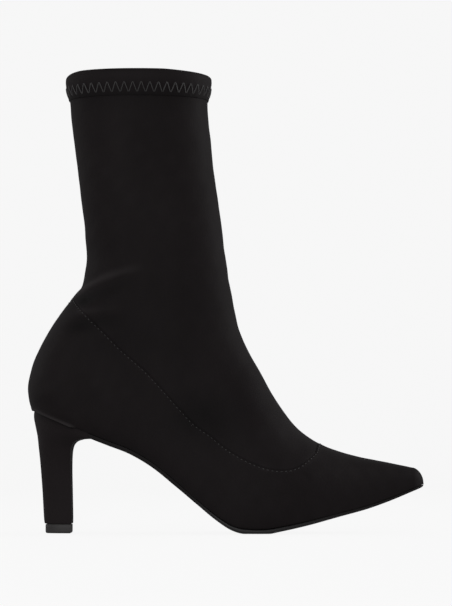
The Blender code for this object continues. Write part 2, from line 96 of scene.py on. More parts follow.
LEG = table("along rise span lean lateral medial belly round crest", [
    (0.000, 0.052, 1.639, 60.4, 0.388, 0.384, 0.24, 0.320, 0.679),
    (0.011, 0.132, 1.547, 63.7, 0.384, 0.381, 0.26, 0.325, 0.663),
    (0.046, 0.221, 1.389, 66.8, 0.379, 0.377, 0.29, 0.335, 0.640),
    (0.095, 0.307, 1.204, 69.2, 0.371, 0.371, 0.34, 0.360, 0.607),
    (0.130, 0.353, 1.088, 69.6, 0.366, 0.366, 0.38, 0.385, 0.579),
    (0.144, 0.424, 1.021, 71.3, 0.364, 0.364, 0.43, 0.420, 0.539),
    (0.143, 0.522, 0.983, 73.6, 0.368, 0.368, 0.47, 0.455, 0.511),
    (0.132, 0.632, 0.969, 77.5, 0.380, 0.380, 0.50, 0.480, 0.489),
    (0.120, 0.747, 0.970, 82.3, 0.395, 0.395, 0.50, 0.490, 0.483),
    (0.108, 0.855, 0.978, 87.4, 0.405, 0.405, 0.50, 0.495, 0.488),
    (0.101, 0.925, 0.998, 90.0, 0.412, 0.412, 0.50, 0.500, 0.499),
    (0.100, 0.990, 1.002, 90.0, 0.416, 0.416, 0.50, 0.500, 0.501),
])
print("sections on the foot:", len(FOOT["along"]), "and on the leg:", len(LEG["along"]))

# %% [markdown]
# ## Curves through the tables
#
# A last has no corners, so the rows of a table are joined by a curve.  Blender's own curves would do it for
# one line at a time.  A small cubic in numpy does it for whole arrays, and the same function then serves
# every piece.


# %% Smooth curves
def smooth(at, knots, values):
    """Piecewise cubic through the values at the knots: each knot's slope is read from its two neighbours,
    and between two knots four cubic weights blend both values and both slopes."""
    slopes = np.gradient(values, knots)
    at = np.clip(at, knots[0], knots[-1])
    left = np.clip(np.searchsorted(knots, at, side="right") - 1, 0, len(knots) - 2)
    width = knots[left + 1] - knots[left]
    t = (at - knots[left]) / width
    return (
        values[left] * (1 + 2 * t) * (1 - t) ** 2
        + values[left + 1] * t * t * (3 - 2 * t)
        + slopes[left] * width * t * (1 - t) ** 2
        - slopes[left + 1] * width * t * t * (1 - t)
    )


def x_of(along):
    """The boot's middle is x = 0."""
    return (along - 0.5) * LENGTH


def feather_height(along):
    """Height of the edge where upper and sole meet."""
    return smooth(along, SOLE["along"], SOLE["feather"]) * HEEL_HEIGHT


def swing(along):
    """Sideways place of the middle line: a parabola that leans the toe to the inner side."""
    return SWING * np.clip((along - SWING_FROM) / (1 - SWING_FROM), 0, 1) ** 2


def nose_share(along):
    """What is left of the toe's width and height towards its tip: a taper times a quarter ellipse."""
    ahead = np.clip((along - NOSE_ALONG) / (1 - NOSE_ALONG), 0, 1)
    return (1 - NOSE_TAPER * ahead) * np.sqrt(1 - ahead**2)


def rounded_end(distance, length):
    """Share of the full width at a distance from a rounded end: a superellipse of the given length."""
    short = np.clip(1 - distance / length, 0, 1)
    return (1 - short**ROUNDNESS) ** (1 / ROUNDNESS)


def plan_half_width(along, side):
    """Half width of the feather line, rounded off at the toe only."""
    within = np.clip(along, HEEL_TURN_ALONG, NOSE_ALONG)
    return smooth(within, SOLE["along"], SOLE[side]) * BALL_WIDTH * nose_share(along)


def feather_half_width(along, side):
    """Half width of the feather line, rounded off at the toe and behind the heel."""
    return plan_half_width(along, side) * rounded_end((along - SEAT_BACK_ALONG) * LENGTH, HEEL_ROUND)


print("feather line at the ball: %.1f mm above the floor" % feather_height(np.array(0.58)))

# %% [markdown]
# ## The skin of the boot
#
# The upper is one smooth skin.  It could be sculpted, but a last is made from sections, and so is this
# skin: loops that stand on the feather line or on the back of the leg and reach up to a ridge.  The loops
# fan from upright at the toe to level at the collar.  One number runs from the toe to the collar, a second
# one round each loop, and together they name every point of the cloth.

# %% Sections
nose = NOSE_ALONG + (1 - NOSE_ALONG) * np.cos(np.pi / 2 * np.arange(NOSE_STEPS) / NOSE_STEPS)
SHRINKS_AT_NOSE = ("span", "lateral", "medial", "crest")


def with_nose(name):
    """A column of the foot with copies of its first row in front, which shrink to the tip of the toe."""
    left = nose_share(nose) if name in SHRINKS_AT_NOSE else np.ones(NOSE_STEPS)
    return np.concatenate([nose if name == "along" else FOOT[name][0] * left, FOOT[name]])


def foot_and_leg(name, foot_unit=1.0, leg_unit=1.0):
    """A column of the foot and then of the leg, each times its unit."""
    return np.concatenate([with_nose(name) * foot_unit, LEG[name] * leg_unit])


SKIN = {"along": foot_and_leg("along")}
SKIN["base_x"] = x_of(SKIN["along"])
leg_height = HEEL_HEIGHT + LEG["rise"] * SHAFT_HEIGHT
SKIN["base_z"] = np.concatenate([feather_height(with_nose("along")), leg_height])
span = foot_and_leg("span", INSTEP_SPAN, COLLAR_DEPTH)
lean = np.radians(foot_and_leg("lean"))
SKIN["ridge_x"] = SKIN["base_x"] + span * np.sin(lean)
SKIN["ridge_z"] = SKIN["base_z"] + span * np.cos(lean)
for axis in "xz":
    rise = SKIN["ridge_" + axis] - SKIN["base_" + axis]
    SKIN["belly_" + axis] = SKIN["base_" + axis] + foot_and_leg("belly") * rise
SKIN["lateral"] = foot_and_leg("lateral") * BALL_WIDTH
SKIN["medial"] = foot_and_leg("medial") * BALL_WIDTH
SKIN["crest"] = foot_and_leg("crest", INSTEP_SPAN, COLLAR_DEPTH)
FOOT_KNOTS = len(with_nose("along"))
SKIN["round"] = np.concatenate([np.full(FOOT_KNOTS, HEEL_ROUND), LEG["round"] * COLLAR_DEPTH])
base_step = np.hypot(np.diff(SKIN["base_x"]), np.diff(SKIN["base_z"]))
ridge_step = np.hypot(np.diff(SKIN["ridge_x"]), np.diff(SKIN["ridge_z"]))
KNOTS = np.concatenate([[0.0], np.cumsum(np.maximum(base_step, ridge_step))])
SEAT_END, COLLAR = KNOTS[FOOT_KNOTS - 1], KNOTS[-1]
BACK_X, BACK_Z = SKIN["base_x"][FOOT_KNOTS - 1:], SKIN["base_z"][FOOT_KNOTS - 1:]
print("toe to collar: %.0f mm, back of the seat at %.0f mm" % (COLLAR, SEAT_END))

# %% [markdown]
# ## A point of the skin
#
# A shoemaker can mark a last with a pencil grid and find any place on it again.  The next function is that
# grid: it takes the two numbers and gives the point.  A lofted mesh would hold only the points that it was
# made with.  A function can be asked again wherever a seam, a stitch or a fold needs one.


# %% The skin as a function
def on_side(v, lateral, medial):
    """One value on the outer side, another on the inner side."""
    return np.where(v < 0, lateral, medial)


def back_at(z):
    """How far back the heel and leg reach at a height."""
    return smooth(z, BACK_Z, BACK_X)


def skin(p, v):
    """Point of the smooth skin.  p runs from the tip of the toe to the collar, v from -1 at the base on the
    outer side over 0 at the ridge to 1 at the base on the inner side.  Each half of a section is two
    quarters of superellipses, base to belly and belly to ridge; both are narrowed towards the back of the
    heel."""
    p, v = np.broadcast_arrays(np.asarray(p, float), np.asarray(v, float))
    part = {name: smooth(p, KNOTS, SKIN[name]) for name in SKIN}
    along, on_foot = part["along"], p <= SEAT_END
    base_x = x_of(along)
    base_z = np.where(on_foot, feather_height(along), part["base_z"])
    width = np.maximum(on_side(v, part["lateral"], part["medial"]), 1e-6)
    edge = on_side(v, plan_half_width(along, "lateral"), plan_half_width(along, "medial"))
    edge = np.where(along > NOSE_ALONG, np.minimum(edge, width), edge)
    edge = width + (edge - width) * np.exp(-np.maximum(base_z - HEEL_HEIGHT, 0) / TUCK_FADE)
    share = 1 - 2 * np.abs(v)
    angle = np.abs(share) * np.pi / 2
    out = np.maximum(np.cos(angle), 0) ** (2 / ROUNDNESS)
    climb = np.sin(angle) ** (2 / ROUNDNESS)
    low = share < 0
    end_x, end_z = np.where(low, base_x, part["ridge_x"]), np.where(low, base_z, part["ridge_z"])
    x = part["belly_x"] + (end_x - part["belly_x"]) * climb
    z = part["belly_z"] + (end_z - part["belly_z"]) * climb
    to_ridge = np.hypot(part["ridge_x"] - part["belly_x"], part["ridge_z"] - part["belly_z"])
    crest = np.maximum(part["crest"], 1e-6)
    reach = np.where(low, edge + (width - edge) * out, width * rounded_end(to_ridge * (1 - climb), crest))
    from_back = x - back_at(z) - np.where(on_foot, 0, base_x - back_at(base_z))
    reach = reach * rounded_end(from_back, part["round"])
    return np.stack([x, swing(along) + np.sign(v) * reach, z], axis=-1)


print("tip of the toe:", skin(0.0, -1.0).round(1), " collar's front:", skin(COLLAR, 0.0).round(1))

# %% [markdown]
# ## Where the seam runs
#
# The foot panel ends in a long seam: from the back of the ankle it falls along the side, turns under the
# instep and climbs to the ridge of the vamp.  A line could be painted on one skin.  Here it divides the skin
# into two panels instead, because a sewn edge rolls in and shades itself.  The rows give the seam as the
# camera sees it, from the ridge to the back, as shares of length and height.  All are raised by one small
# share, because the floor line was read a little high.  The skin's own two numbers are then looked up for
# each point.

# %% Seam line
CAMERA_BACK, CAMERA_HEIGHT = 1700.0, 50.0
SEAM = table("along height", [
    (0.7350, 0.1890), (0.7295, 0.1760), (0.7095, 0.1584), (0.6770, 0.1388), (0.6440, 0.1337),
    (0.6110, 0.1364), (0.5640, 0.1505), (0.5020, 0.1808), (0.4620, 0.2086), (0.4200, 0.2347),
    (0.3810, 0.2700), (0.3010, 0.3457), (0.2260, 0.4034), (0.1850, 0.4392), (0.1550, 0.4643),
    (0.1315, 0.4860), (0.1220, 0.4955), (0.1160, 0.5040),
])
SEAM_RAISE = 0.0024
SEAM_ROWS, SEAM_LEAST_STEP = 170, 0.12
NET_ROWS, NET_COLUMNS, NET_MARGIN, LEAST_V, MOST_V = 500, 180, 1.0, -0.99, -0.01
SEARCH_STEPS, STEP_P, STEP_V, REACH_P, REACH_V = 8, 0.05, 0.0005, 2.0, 0.02


def steps_of(points):
    """Length travelled along a line of points."""
    return np.concatenate([[0.0], np.cumsum(np.linalg.norm(np.diff(points, axis=0), axis=-1))])


def from_side(p, v):
    """Where the camera sees a point of the skin on the boot's middle plane: x, and z over the camera, grow
    by the camera's distance from that plane over its distance from the point."""
    x, y, z = np.moveaxis(skin(p, v), -1, 0)
    grown = CAMERA_BACK / (CAMERA_BACK + y)
    return np.stack([x * grown, CAMERA_HEIGHT + (z - CAMERA_HEIGHT) * grown], axis=-1)


def flat_cross(a, b):
    """Area between two flat vectors, for rows of them."""
    return a[:, 0] * b[:, 1] - a[:, 1] * b[:, 0]


def find_seam():
    """p and v of the seam on the outer side, from ridge to back.  Points of a curve through the table start
    at the nearest knot of a net over the skin.  Steps close in on them: each solves the miss for p and v
    with the skin's slopes there.  The ends go on to v = 0 and -1, and each row lies at least a small step
    behind the one before it."""
    rows = np.stack([x_of(SEAM["along"]), (SEAM["height"] + SEAM_RAISE) * BOOT_HEIGHT], axis=-1)
    knots = steps_of(rows)
    even = np.linspace(0, knots[-1], SEAM_ROWS)
    want = np.stack([smooth(even, knots, rows[:, 0]), smooth(even, knots, rows[:, 1])], axis=-1)
    net_p = np.linspace(NET_MARGIN, COLLAR - NET_MARGIN, NET_ROWS)
    net_p, net_v = np.meshgrid(net_p, np.linspace(LEAST_V, MOST_V, NET_COLUMNS), indexing="ij")
    net = from_side(net_p, net_v).reshape(-1, 2)
    nearest = np.array([((net - point) ** 2).sum(axis=1).argmin() for point in want])
    p, v = net_p.ravel()[nearest], net_v.ravel()[nearest]
    for _ in range(SEARCH_STEPS):
        by_p = (from_side(p + STEP_P, v) - from_side(p - STEP_P, v)) / (2 * STEP_P)
        by_v = (from_side(p, v + STEP_V) - from_side(p, v - STEP_V)) / (2 * STEP_V)
        miss = want - from_side(p, v)
        area = flat_cross(by_p, by_v)
        p = p + np.clip(flat_cross(miss, by_v) / area, -REACH_P, REACH_P)
        v = np.clip(v + np.clip(flat_cross(by_p, miss) / area, -REACH_V, REACH_V), LEAST_V, MOST_V)
    p, v = np.concatenate([p[:1], p, p[-1:]]), np.concatenate([[0.0], v, [-1.0]])
    length = steps_of(skin(p, v))
    even = np.linspace(0, length[-1], SEAM_ROWS + 1)
    least = SEAM_LEAST_STEP * np.arange(SEAM_ROWS + 1)
    even_p, even_v = np.interp(even, length, p), np.interp(even, length, v)
    return np.maximum.accumulate(even_p - least) + least, even_v, length[-1]


SEAM_P, SEAM_V, seam_length = find_seam()
print("seam: %.0f mm on each side, ridge end at" % seam_length, skin(SEAM_P[0], 0.0).round(1))

# %% [markdown]
# ## Which way the cloth faces
#
# Cloth is lifted, sewn and thickened along its normal.  Blender works normals out from faces, but the seam
# and the threads need them before there are any.  Two small steps on the skin and their cross product give
# them at any point.

# %% Normals
NORMAL_STEP_P, NORMAL_STEP_V = 0.3, 0.004


def skin_normal(p, v):
    """Outward unit normal of the skin: the cross product of its two differences.  Round the back, where
    both sides meet, the difference goes on over the other side; at the feather line it stops."""
    p, v = np.broadcast_arrays(np.asarray(p, float), np.asarray(v, float))
    p = np.clip(p, 2 * NORMAL_STEP_P, COLLAR - NORMAL_STEP_P)
    down = skin(p + NORMAL_STEP_P, v) - skin(p - NORMAL_STEP_P, v)
    open_edge = p < SEAT_END
    more, less = v + NORMAL_STEP_V, v - NORMAL_STEP_V
    more = np.where(more > 1, np.where(open_edge, 1.0, more - 2), more)
    less = np.where(less < -1, np.where(open_edge, -1.0, less + 2), less)
    normal = np.cross(skin(p, more) - skin(p, less), down)
    return normal / np.maximum(np.linalg.norm(normal, axis=-1, keepdims=True), 1e-12)


def both_sides(values):
    """A seam line's values: outer side from back to ridge, then inner side from ridge to back."""
    return np.concatenate([values[::-1], values[1:]])


line_p = both_sides(SEAM_P)
line_v = np.concatenate([SEAM_V[::-1], -SEAM_V[1:]])
seam_line, seam_normal = skin(line_p, line_v), skin_normal(line_p, line_v)
print("normal on the outer side of the instep:", skin_normal(150.0, -0.4).round(2))

# %% [markdown]
# ## Folds, hollows and sewn edges
#
# Stretch cloth that is drawn over an ankle keeps a few folds: here one strong ridge runs forward from the
# back of the ankle, with a trough under it, then a faint ridge and a second trough.  A cloth simulation
# would put them anywhere.  They are listed instead, each as a line with a height and a width, in the
# boot's own millimetres.

# %% Fold table
FOLDS = table("x0 z0 x1 z1 x2 z2 height near far", [
    (-98.0, 147.0, -75.0, 160.0, -46.0, 166.5, 2.00, 1.6, 3.6),
    (-94.0, 144.5, -79.0, 150.5, -56.0, 158.0, -2.10, 3.8, 5.5),
    (-94.0, 138.5, -78.0, 139.5, -58.0, 139.0, 0.60, 2.6, 4.0),
    (-97.0, 129.0, -80.0, 131.5, -58.0, 131.5, -1.50, 4.2, 6.0),
    (-92.0, 172.0, -76.0, 178.0, -50.0, 184.0, -0.50, 7.0, 9.0),
    (48.0, 37.5, 51.0, 35.0, 52.5, 31.5, -0.28, 1.2, 1.2),
])
HOLLOWS = table("x z long high depth", [
    (-14.0, 72.0, 24.0, 15.0, 1.30), (-62.0, 118.0, 26.0, 10.0, 0.50), (20.0, 66.0, 14.0, 16.0, -0.15),
    (-42.0, 140.0, 26.0, 24.0, 0.50),
])
INNER_SIDE_SHARE = 0.8
FADE_FROM, FADE_POWER, START_SHARE, START_LONG, RUN_IN = 0.25, 1.2, 0.45, 0.15, 0.25


def bell(distance, width):
    """Bell curve: e to the minus square of distance over width, about a third at the width."""
    return np.exp(-((distance / width) ** 2))


def fold_relief(x, z):
    """Sum over the folds of height times a bell across its line.  The line is the parabola through three
    points, a point's place t along it is read on the chord, the bell widens from near to far and the height
    fades out over the last three quarters and towards the start."""
    total = np.zeros_like(x)
    for x0, z0, x1, z1, x2, z2, height, near, far in zip(*FOLDS.values()):
        chord = (x2 - x0, z2 - z0)
        place = ((x - x0) * chord[0] + (z - z0) * chord[1]) / (chord[0] ** 2 + chord[1] ** 2)
        t = np.clip(place, 0, 1)
        first, middle, last = (1 - t) * (1 - 2 * t), 4 * t * (1 - t), t * (2 * t - 1)
        line_x, line_z = x0 * first + x1 * middle + x2 * last, z0 * first + z1 * middle + z2 * last
        fade = 1 - np.clip((t - FADE_FROM) / (1 - FADE_FROM), 0, 1) ** FADE_POWER
        fade = fade * (START_SHARE + (1 - START_SHARE) * np.clip(t / START_LONG, 0, 1))
        fade = fade * (1 - np.clip(-place / RUN_IN, 0, 1))
        total += height * fade * bell(np.hypot(x - line_x, z - line_z), near + (far - near) * t)
    return total


def hollow_relief(x, z):
    """Sum of soft round dents: minus depth times a bell in two directions."""
    total = np.zeros_like(x)
    for mid_x, mid_z, long, high, depth in zip(*HOLLOWS.values()):
        total -= depth * np.exp(-(((x - mid_x) / long) ** 2) - ((z - mid_z) / high) ** 2)
    return total


def distance_to(points, line, chunk=4000):
    """Distance from each point to the nearest point of a finely sampled line."""
    flat = points.reshape(-1, 3)
    nearest = [
        ((flat[k:k + chunk, None] - line[None]) ** 2).sum(-1).min(1) for k in range(0, len(flat), chunk)
    ]
    return np.sqrt(np.concatenate(nearest)).reshape(points.shape[:-1])


print("folds:", len(FOLDS["x0"]), " hollows:", len(HOLLOWS["x"]))

# %% [markdown]
# ## The relief of the cloth
#
# Each panel starts as the smooth skin and is then moved along its own normals.  The seam is a narrow dip,
# the foot panel's edge lies over it as a small lip, the back seam is a shallow groove, and over the heel
# seat the cloth rolls outwards before it turns in.  A displacement picture could do the same; formulas of
# the distance to each seam keep every edge sharp at any size.

# %% Relief
SEAM_DIP, SEAM_DIP_WIDTH = 0.22, 0.55
SEAM_LIP, SEAM_LIP_WIDTH, SEAM_LIP_AWAY = 0.12, 1.0, 1.7
# The last value is a painted highlight: how much lighter the roll's colour is painted.
SEAT_ROLL, SEAT_ROLL_WIDTH, SEAT_ROLL_AWAY, SEAT_ROLL_HIGHLIGHT = 1.20, 0.80, 0.95, 0.7
SEAT_NIP, SEAT_NIP_WIDTH, SEAT_NIP_AWAY = -0.12, 1.4, 4.0
ROLL_END, ROLL_FADE = -93.5, 3.0
ROLL_BACK_SHARE, ROLL_BACK_X, ROLL_BACK_LONG = 0.45, -125.0, 25.0
BACK_GROOVE, BACK_GROOVE_WIDTH, BACK_GROOVE_REACH = 0.45, 0.9, 6.0
HEM_LOW = BOOT_HEIGHT - 17.0
HEM_PULL, HEM_PULL_WIDTH, HEM_PULL_BELOW = 0.5, 8.0, 1.0
RIPPLE = 0.10
WAVES = (
    (0.41, 0.23, 0.31, 0.0), (-0.22, 0.36, 0.47, 1.3), (0.13, -0.29, 0.20, 2.1), (0.52, 0.11, -0.27, 4.0),
)
SEAT_LINE_TO, SEAT_LINE_STEPS = 0.150, 120
seat_along = np.linspace(SEAT_BACK_ALONG, SEAT_LINE_TO, SEAT_LINE_STEPS)


def seat_side(side, sign):
    """The feather line along one side of the heel seat."""
    half = sign * feather_half_width(seat_along, side)
    return np.stack([x_of(seat_along), half, feather_height(seat_along)], axis=-1)


seat_line = np.concatenate([seat_side("lateral", -1), seat_side("medial", 1)])


def roll_share(x):
    """1 behind the place beside the heel where the seat's roll ends, 0 ahead of it."""
    return np.clip((ROLL_END - x) / ROLL_FADE, 0, 1)


def hem_pull(z):
    """How far the leg is drawn in under the hem: a bell round its lower edge."""
    return HEM_PULL * bell(z - HEM_LOW + HEM_PULL_BELOW, HEM_PULL_WIDTH)


def ripple(points):
    """Faint unevenness of cloth on a last: a mean of slanted sine waves 10 to 17 mm long."""
    x, y, z = np.moveaxis(points, -1, 0)
    return sum(np.sin(a * x + b * y + c * z + d) for a, b, c, d in WAVES) / len(WAVES)


def relief(points, foot_side):
    """Height of the cloth over the smooth skin: folds, hollows and ripple, less the dips at the seams, plus
    the lip on the foot's side of the seam and the roll over the heel seat.  The height is also returned as a
    painted shading, highlight where it is up and shade where it is down, with more painted highlight on
    the roll.  The distance to the seam comes last."""
    x, y, z = np.moveaxis(points, -1, 0)
    side = np.where(y < 0, 1.0, INNER_SIDE_SHARE)
    height = side * (fold_relief(x, z) + hollow_relief(x, z)) + RIPPLE * ripple(points) - hem_pull(z)
    to_seam = distance_to(points, seam_line)
    if foot_side:
        height = height + SEAM_LIP * bell(to_seam - SEAM_LIP_AWAY, SEAM_LIP_WIDTH)
    behind = (x < back_at(z) + BACK_GROOVE_REACH) * (z > HEEL_HEIGHT + BACK_GROOVE_REACH)
    height = height - SEAM_DIP * bell(to_seam, SEAM_DIP_WIDTH)
    height = height - BACK_GROOVE * bell(y, BACK_GROOVE_WIDTH) * behind
    # The height is also a painted shading of the colour: painted highlight where it is up, painted shade
    # where it is down.
    rub = height
    if foot_side:
        to_seat = distance_to(points, seat_line)
        forward = np.clip((x - ROLL_BACK_X) / ROLL_BACK_LONG, 0, 1)
        near_seat = roll_share(x) * (ROLL_BACK_SHARE + (1 - ROLL_BACK_SHARE) * forward)
        roll = near_seat * bell(to_seat - SEAT_ROLL_AWAY, SEAT_ROLL_WIDTH)
        nip = near_seat * bell(to_seat - SEAT_NIP_AWAY, SEAT_NIP_WIDTH)
        height = height + SEAT_ROLL * roll + SEAT_NIP * nip
        # Painted highlight: the roll's colour is painted lighter still.
        rub = height + SEAT_ROLL_HIGHLIGHT * roll
    return height, rub, to_seam


print("heel seat line:", len(seat_line), "points")

# %% [markdown]
# ## From arrays to meshes
#
# Every piece below is a grid of points.  One helper joins the grid with four-sided faces, merges points
# that fall together at poles and closed seams, turns the faces outwards and hands the arrays to Blender.
# Primitives and edit mode could make pieces too, but a grid keeps each point's place in the formula.

# %% Mesh helpers
WELD, SHARP = 0.004, 40


def grid_faces(rows, columns, wrap=False):
    """Corner numbers of the faces of a grid; with wrap the last column joins the first."""
    index = np.arange(rows * columns).reshape(rows, columns)
    if wrap:
        index = np.concatenate([index, index[:, :1]], axis=1)
    corners = (index[:-1, :-1], index[:-1, 1:], index[1:, 1:], index[1:, :-1])
    return np.stack(corners, axis=-1).reshape(-1, 4)


def welded(points, faces):
    """Merges points in the same cell of a fine lattice; faces that lose one corner become triangles."""
    cells = np.round(points / WELD).astype(np.int64)
    _, first, where = np.unique(cells, axis=0, return_index=True, return_inverse=True)
    faces = where.reshape(-1)[faces]
    same = faces == np.roll(faces, -1, axis=1)
    quads = faces[~same.any(axis=1)]
    once = same.sum(axis=1) == 1
    triangles = faces[once][~same[once]].reshape(-1, 3)
    return first, quads, triangles


def facing_out(points, quads):
    """True if the faces look away from the piece's middle: the sum of normal times offset is positive."""
    a, b, c, d = (points[quads[:, k]] for k in range(4))
    normal = np.cross(c - a, d - b)
    return (normal * ((a + b + c + d) / 4 - points.mean(axis=0))).sum() > 0


def make_piece(name, points, faces, slot_name, stands_for=(), marks=None, sharp=None):
    """A mesh object at the origin from points in millimetres, riding on the boot.  marks are values kept on
    the points, sharp is the angle in degrees above which an edge stays sharp."""
    points = points.reshape(-1, 3)
    first, quads, triangles = welded(points, faces)
    kept = points[first]
    if not facing_out(kept, quads):
        quads, triangles = quads[:, ::-1], triangles[:, ::-1]
    mesh = bpy.data.meshes.new(name)
    mesh.from_pydata((kept * MM).tolist(), [], quads.tolist() + triangles.tolist())
    for mark, values in (marks or {}).items():
        layer = mesh.attributes.new(mark, "FLOAT", "POINT")
        layer.data.foreach_set("value", values.reshape(-1)[first].astype(np.float32))
    mesh.shade_smooth()
    if sharp is not None:
        mesh.set_sharp_from_angle(angle=math.radians(sharp))
    piece = bpy.data.objects.new(name, mesh)
    bpy.context.scene.collection.objects.link(piece)
    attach(piece, "root")
    if stands_for:
        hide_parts(*stands_for)
    print(name, len(quads) + len(triangles), "faces")
    return piece


def make_rings(name, rings, *others, **more):
    """A piece from a grid whose rows are closed rings."""
    return make_piece(name, rings, grid_faces(*rings.shape[:2], wrap=True), *others, **more)


# %% [markdown]
# ## Foot panel and sock panel
#
# The foot panel covers toe, sides and counter, the sock panel instep, ankle and leg.  Each is two half grids
# that share the ridge.  The columns of the foot run from the feather line up to the seam, those of the sock
# from the seam up to the ridge, so both have one line of points on the seam.  One mesh with two materials
# could not open at the seam.  Solidify gives each panel its wall.

# %% Panels
TOE_ROWS, LEG_ROWS, FOOT_COLUMNS, SOCK_COLUMNS = 84, 110, 84, 88
EDGE_CROWDING, HEM_HOLD, SEAM_MARK_WIDTH, RELIEF_FROM = 1.5, 4.0, 2.0, 1.0
TIP_WALL_LONG, TIP_WALL_LEAST, GROUP_STEPS = 14.0, 0.05, 20


def group_from_mark(piece, mark):
    """A vertex group with a mark's values, rounded to steps."""
    values = np.zeros(len(piece.data.vertices), np.float32)
    piece.data.attributes[mark].data.foreach_get("value", values)
    values = np.round(values * GROUP_STEPS)
    group = piece.vertex_groups.new(name=mark)
    for step in np.unique(values):
        group.add(np.flatnonzero(values == step).tolist(), step / GROUP_STEPS, "REPLACE")
    return group


def panel(name, p, first_v, last_v, columns, foot_side):
    """Panel of two halves, each a grid of rows p with columns from first_v to last_v, which lie closest at
    the first one and, on the foot, at both.  The relief is added along the normals."""
    even = np.linspace(0, 1, columns + 1)[None, :]
    share = (1 - np.cos(np.pi * even)) / 2 if foot_side else even**EDGE_CROWDING
    v = first_v[:, None] + (last_v - first_v)[:, None] * share
    halves, relief_shading_rows, seams = [], [], []
    for side in (1, -1):
        points, normal = skin(p[:, None], side * v), skin_normal(p[:, None], side * v)
        height, rub, to_seam = relief(points, foot_side)
        halves.append(points + normal * (height * (p >= RELIEF_FROM)[:, None])[..., None])
        relief_shading_rows.append(rub)
        # Closeness to the seam, which paints a faint highlight along it in the suede's colour.
        seams.append(bell(to_seam, SEAM_MARK_WIDTH))
    one = grid_faces(len(p), columns + 1)
    faces = np.concatenate([one, one[:, ::-1] + len(p) * (columns + 1)])
    full = np.clip(p / TIP_WALL_LONG, TIP_WALL_LEAST, 1)[None, :, None]
    # The first mark paints highlight on ridges and shade in troughs into the suede's colour.
    marks = {"rub": np.stack(relief_shading_rows), "seam": np.stack(seams)}
    marks["wall"] = np.broadcast_to(full, marks["rub"].shape)
    made = make_piece(name, np.stack(halves), faces, "suede", ("upper",), marks)
    wall = made.modifiers.new("wall", "SOLIDIFY")
    wall.vertex_group = group_from_mark(made, "wall").name
    wall.thickness = WALL * MM
    wall.offset = -1.0
    wall.material_offset = 1
    return made


toe_p = np.linspace(0, SEAM_P[0], TOE_ROWS + 1)[:-1]
leg_p = np.linspace(SEAM_P[-1], COLLAR - HEM_HOLD, LEG_ROWS + 1)[1:]
foot_p, foot_top = np.concatenate([toe_p, SEAM_P]), np.concatenate([np.zeros(TOE_ROWS), SEAM_V])
sock_p, sock_low = np.concatenate([SEAM_P, leg_p]), np.concatenate([SEAM_V, np.full(LEG_ROWS, -1.0)])
foot_panel = panel("foot_panel", foot_p, np.full(len(foot_p), -1.0), foot_top, FOOT_COLUMNS, True)
sock_panel = panel("sock_panel", sock_p, sock_low, np.zeros(len(sock_p)), SOCK_COLUMNS, False)

# %% [markdown]
# ## The turned hem
#
# At the top the cloth is folded over the cut edge and sewn down with a zigzag that can stretch.  It could be
# a plain band.  A folded profile carried round the collar shows the soft roll at the top, the swell above
# the stitches and the thin lower edge.

# %% Hem
HEM_CLOTH, HEM_STEPS, HEM_LIP, HEM_LIP_GAP, HEM_ROLL = 1.3, 376, 0.24, 0.08, 2.6
HEM_SWELL, SWELL_BELOW_TOP, SWELL_WIDTH, TAPER_POWER = 0.35, 4.6, 3.6, 1.5
OUTER_STEPS, INNER_STEPS, ROLL_STEPS, LIP_STEPS = 30, 8, 13, 9
CUT_EDGE = HEEL_HEIGHT + LEG["rise"][-1] * SHAFT_HEIGHT - HEM_HOLD
ZIGZAG_COUNT, ZIGZAG_MIDDLE, ZIGZAG_HALF = 47, BOOT_HEIGHT - 11.9, 3.2
ZIGZAG_TOP = ZIGZAG_MIDDLE + ZIGZAG_HALF
BACK_DROP, BACK_DROP_LONG, FRONT_DROP, FRONT_DROP_LONG, DROP_ABOVE = 2.2, 12.0, 1.4, 28.0, 0.5
PUCKER, PUCKER_WIDTH = 0.10, 4.0
RING_STEP, RING_FINE = 1e-3, 1200
HEM_OUT, HEM_IN = GAP + HEM_CLOTH, -WALL - GAP - HEM_CLOTH


def collar_ring(z, v):
    """Point of the skin's level section at height z, and its outward normal in that level."""
    p = np.interp(z, SKIN["base_z"][-2:], KNOTS[-2:])
    ahead, behind = v + RING_STEP, v - RING_STEP
    ahead, behind = np.where(ahead > 1, ahead - 2, ahead), np.where(behind < -1, behind + 2, behind)
    tangent = skin(p, ahead) - skin(p, behind)
    normal = np.stack([tangent[..., 1], -tangent[..., 0], np.zeros_like(tangent[..., 0])], axis=-1)
    normal /= np.linalg.norm(normal, axis=-1, keepdims=True)
    point = skin(p, v)
    point[..., 2] = z
    return point, normal


def even_round(z, count):
    """Values of v at equal steps of length round the collar."""
    fine = np.linspace(-1, 1, RING_FINE)
    length = steps_of(collar_ring(z, fine)[0])
    return np.interp(np.arange(count) / count * length[-1], length, fine)


def hem_swell(z):
    """How far the hem's outer face stands out of a plain band: a soft swell above the zigzag, and from the
    zigzag's top downwards a taper that brings the lower edge in to the leg."""
    above = HEM_SWELL * bell(z - (BOOT_HEIGHT - SWELL_BELOW_TOP), SWELL_WIDTH)
    taper = np.clip((ZIGZAG_TOP - z) / (ZIGZAG_TOP - HEM_LOW), 0, 1) ** TAPER_POWER
    return above - (HEM_OUT - HEM_LIP_GAP - 2 * HEM_LIP) * taper


def half_round(mid_out, mid_z, wide, high, first, last, steps):
    """Part of an ellipse, from one angle in degrees to another."""
    turn = np.radians(np.linspace(first, last, steps))
    return np.stack([mid_out + wide * np.cos(turn), mid_z + high * np.sin(turn)], axis=-1)


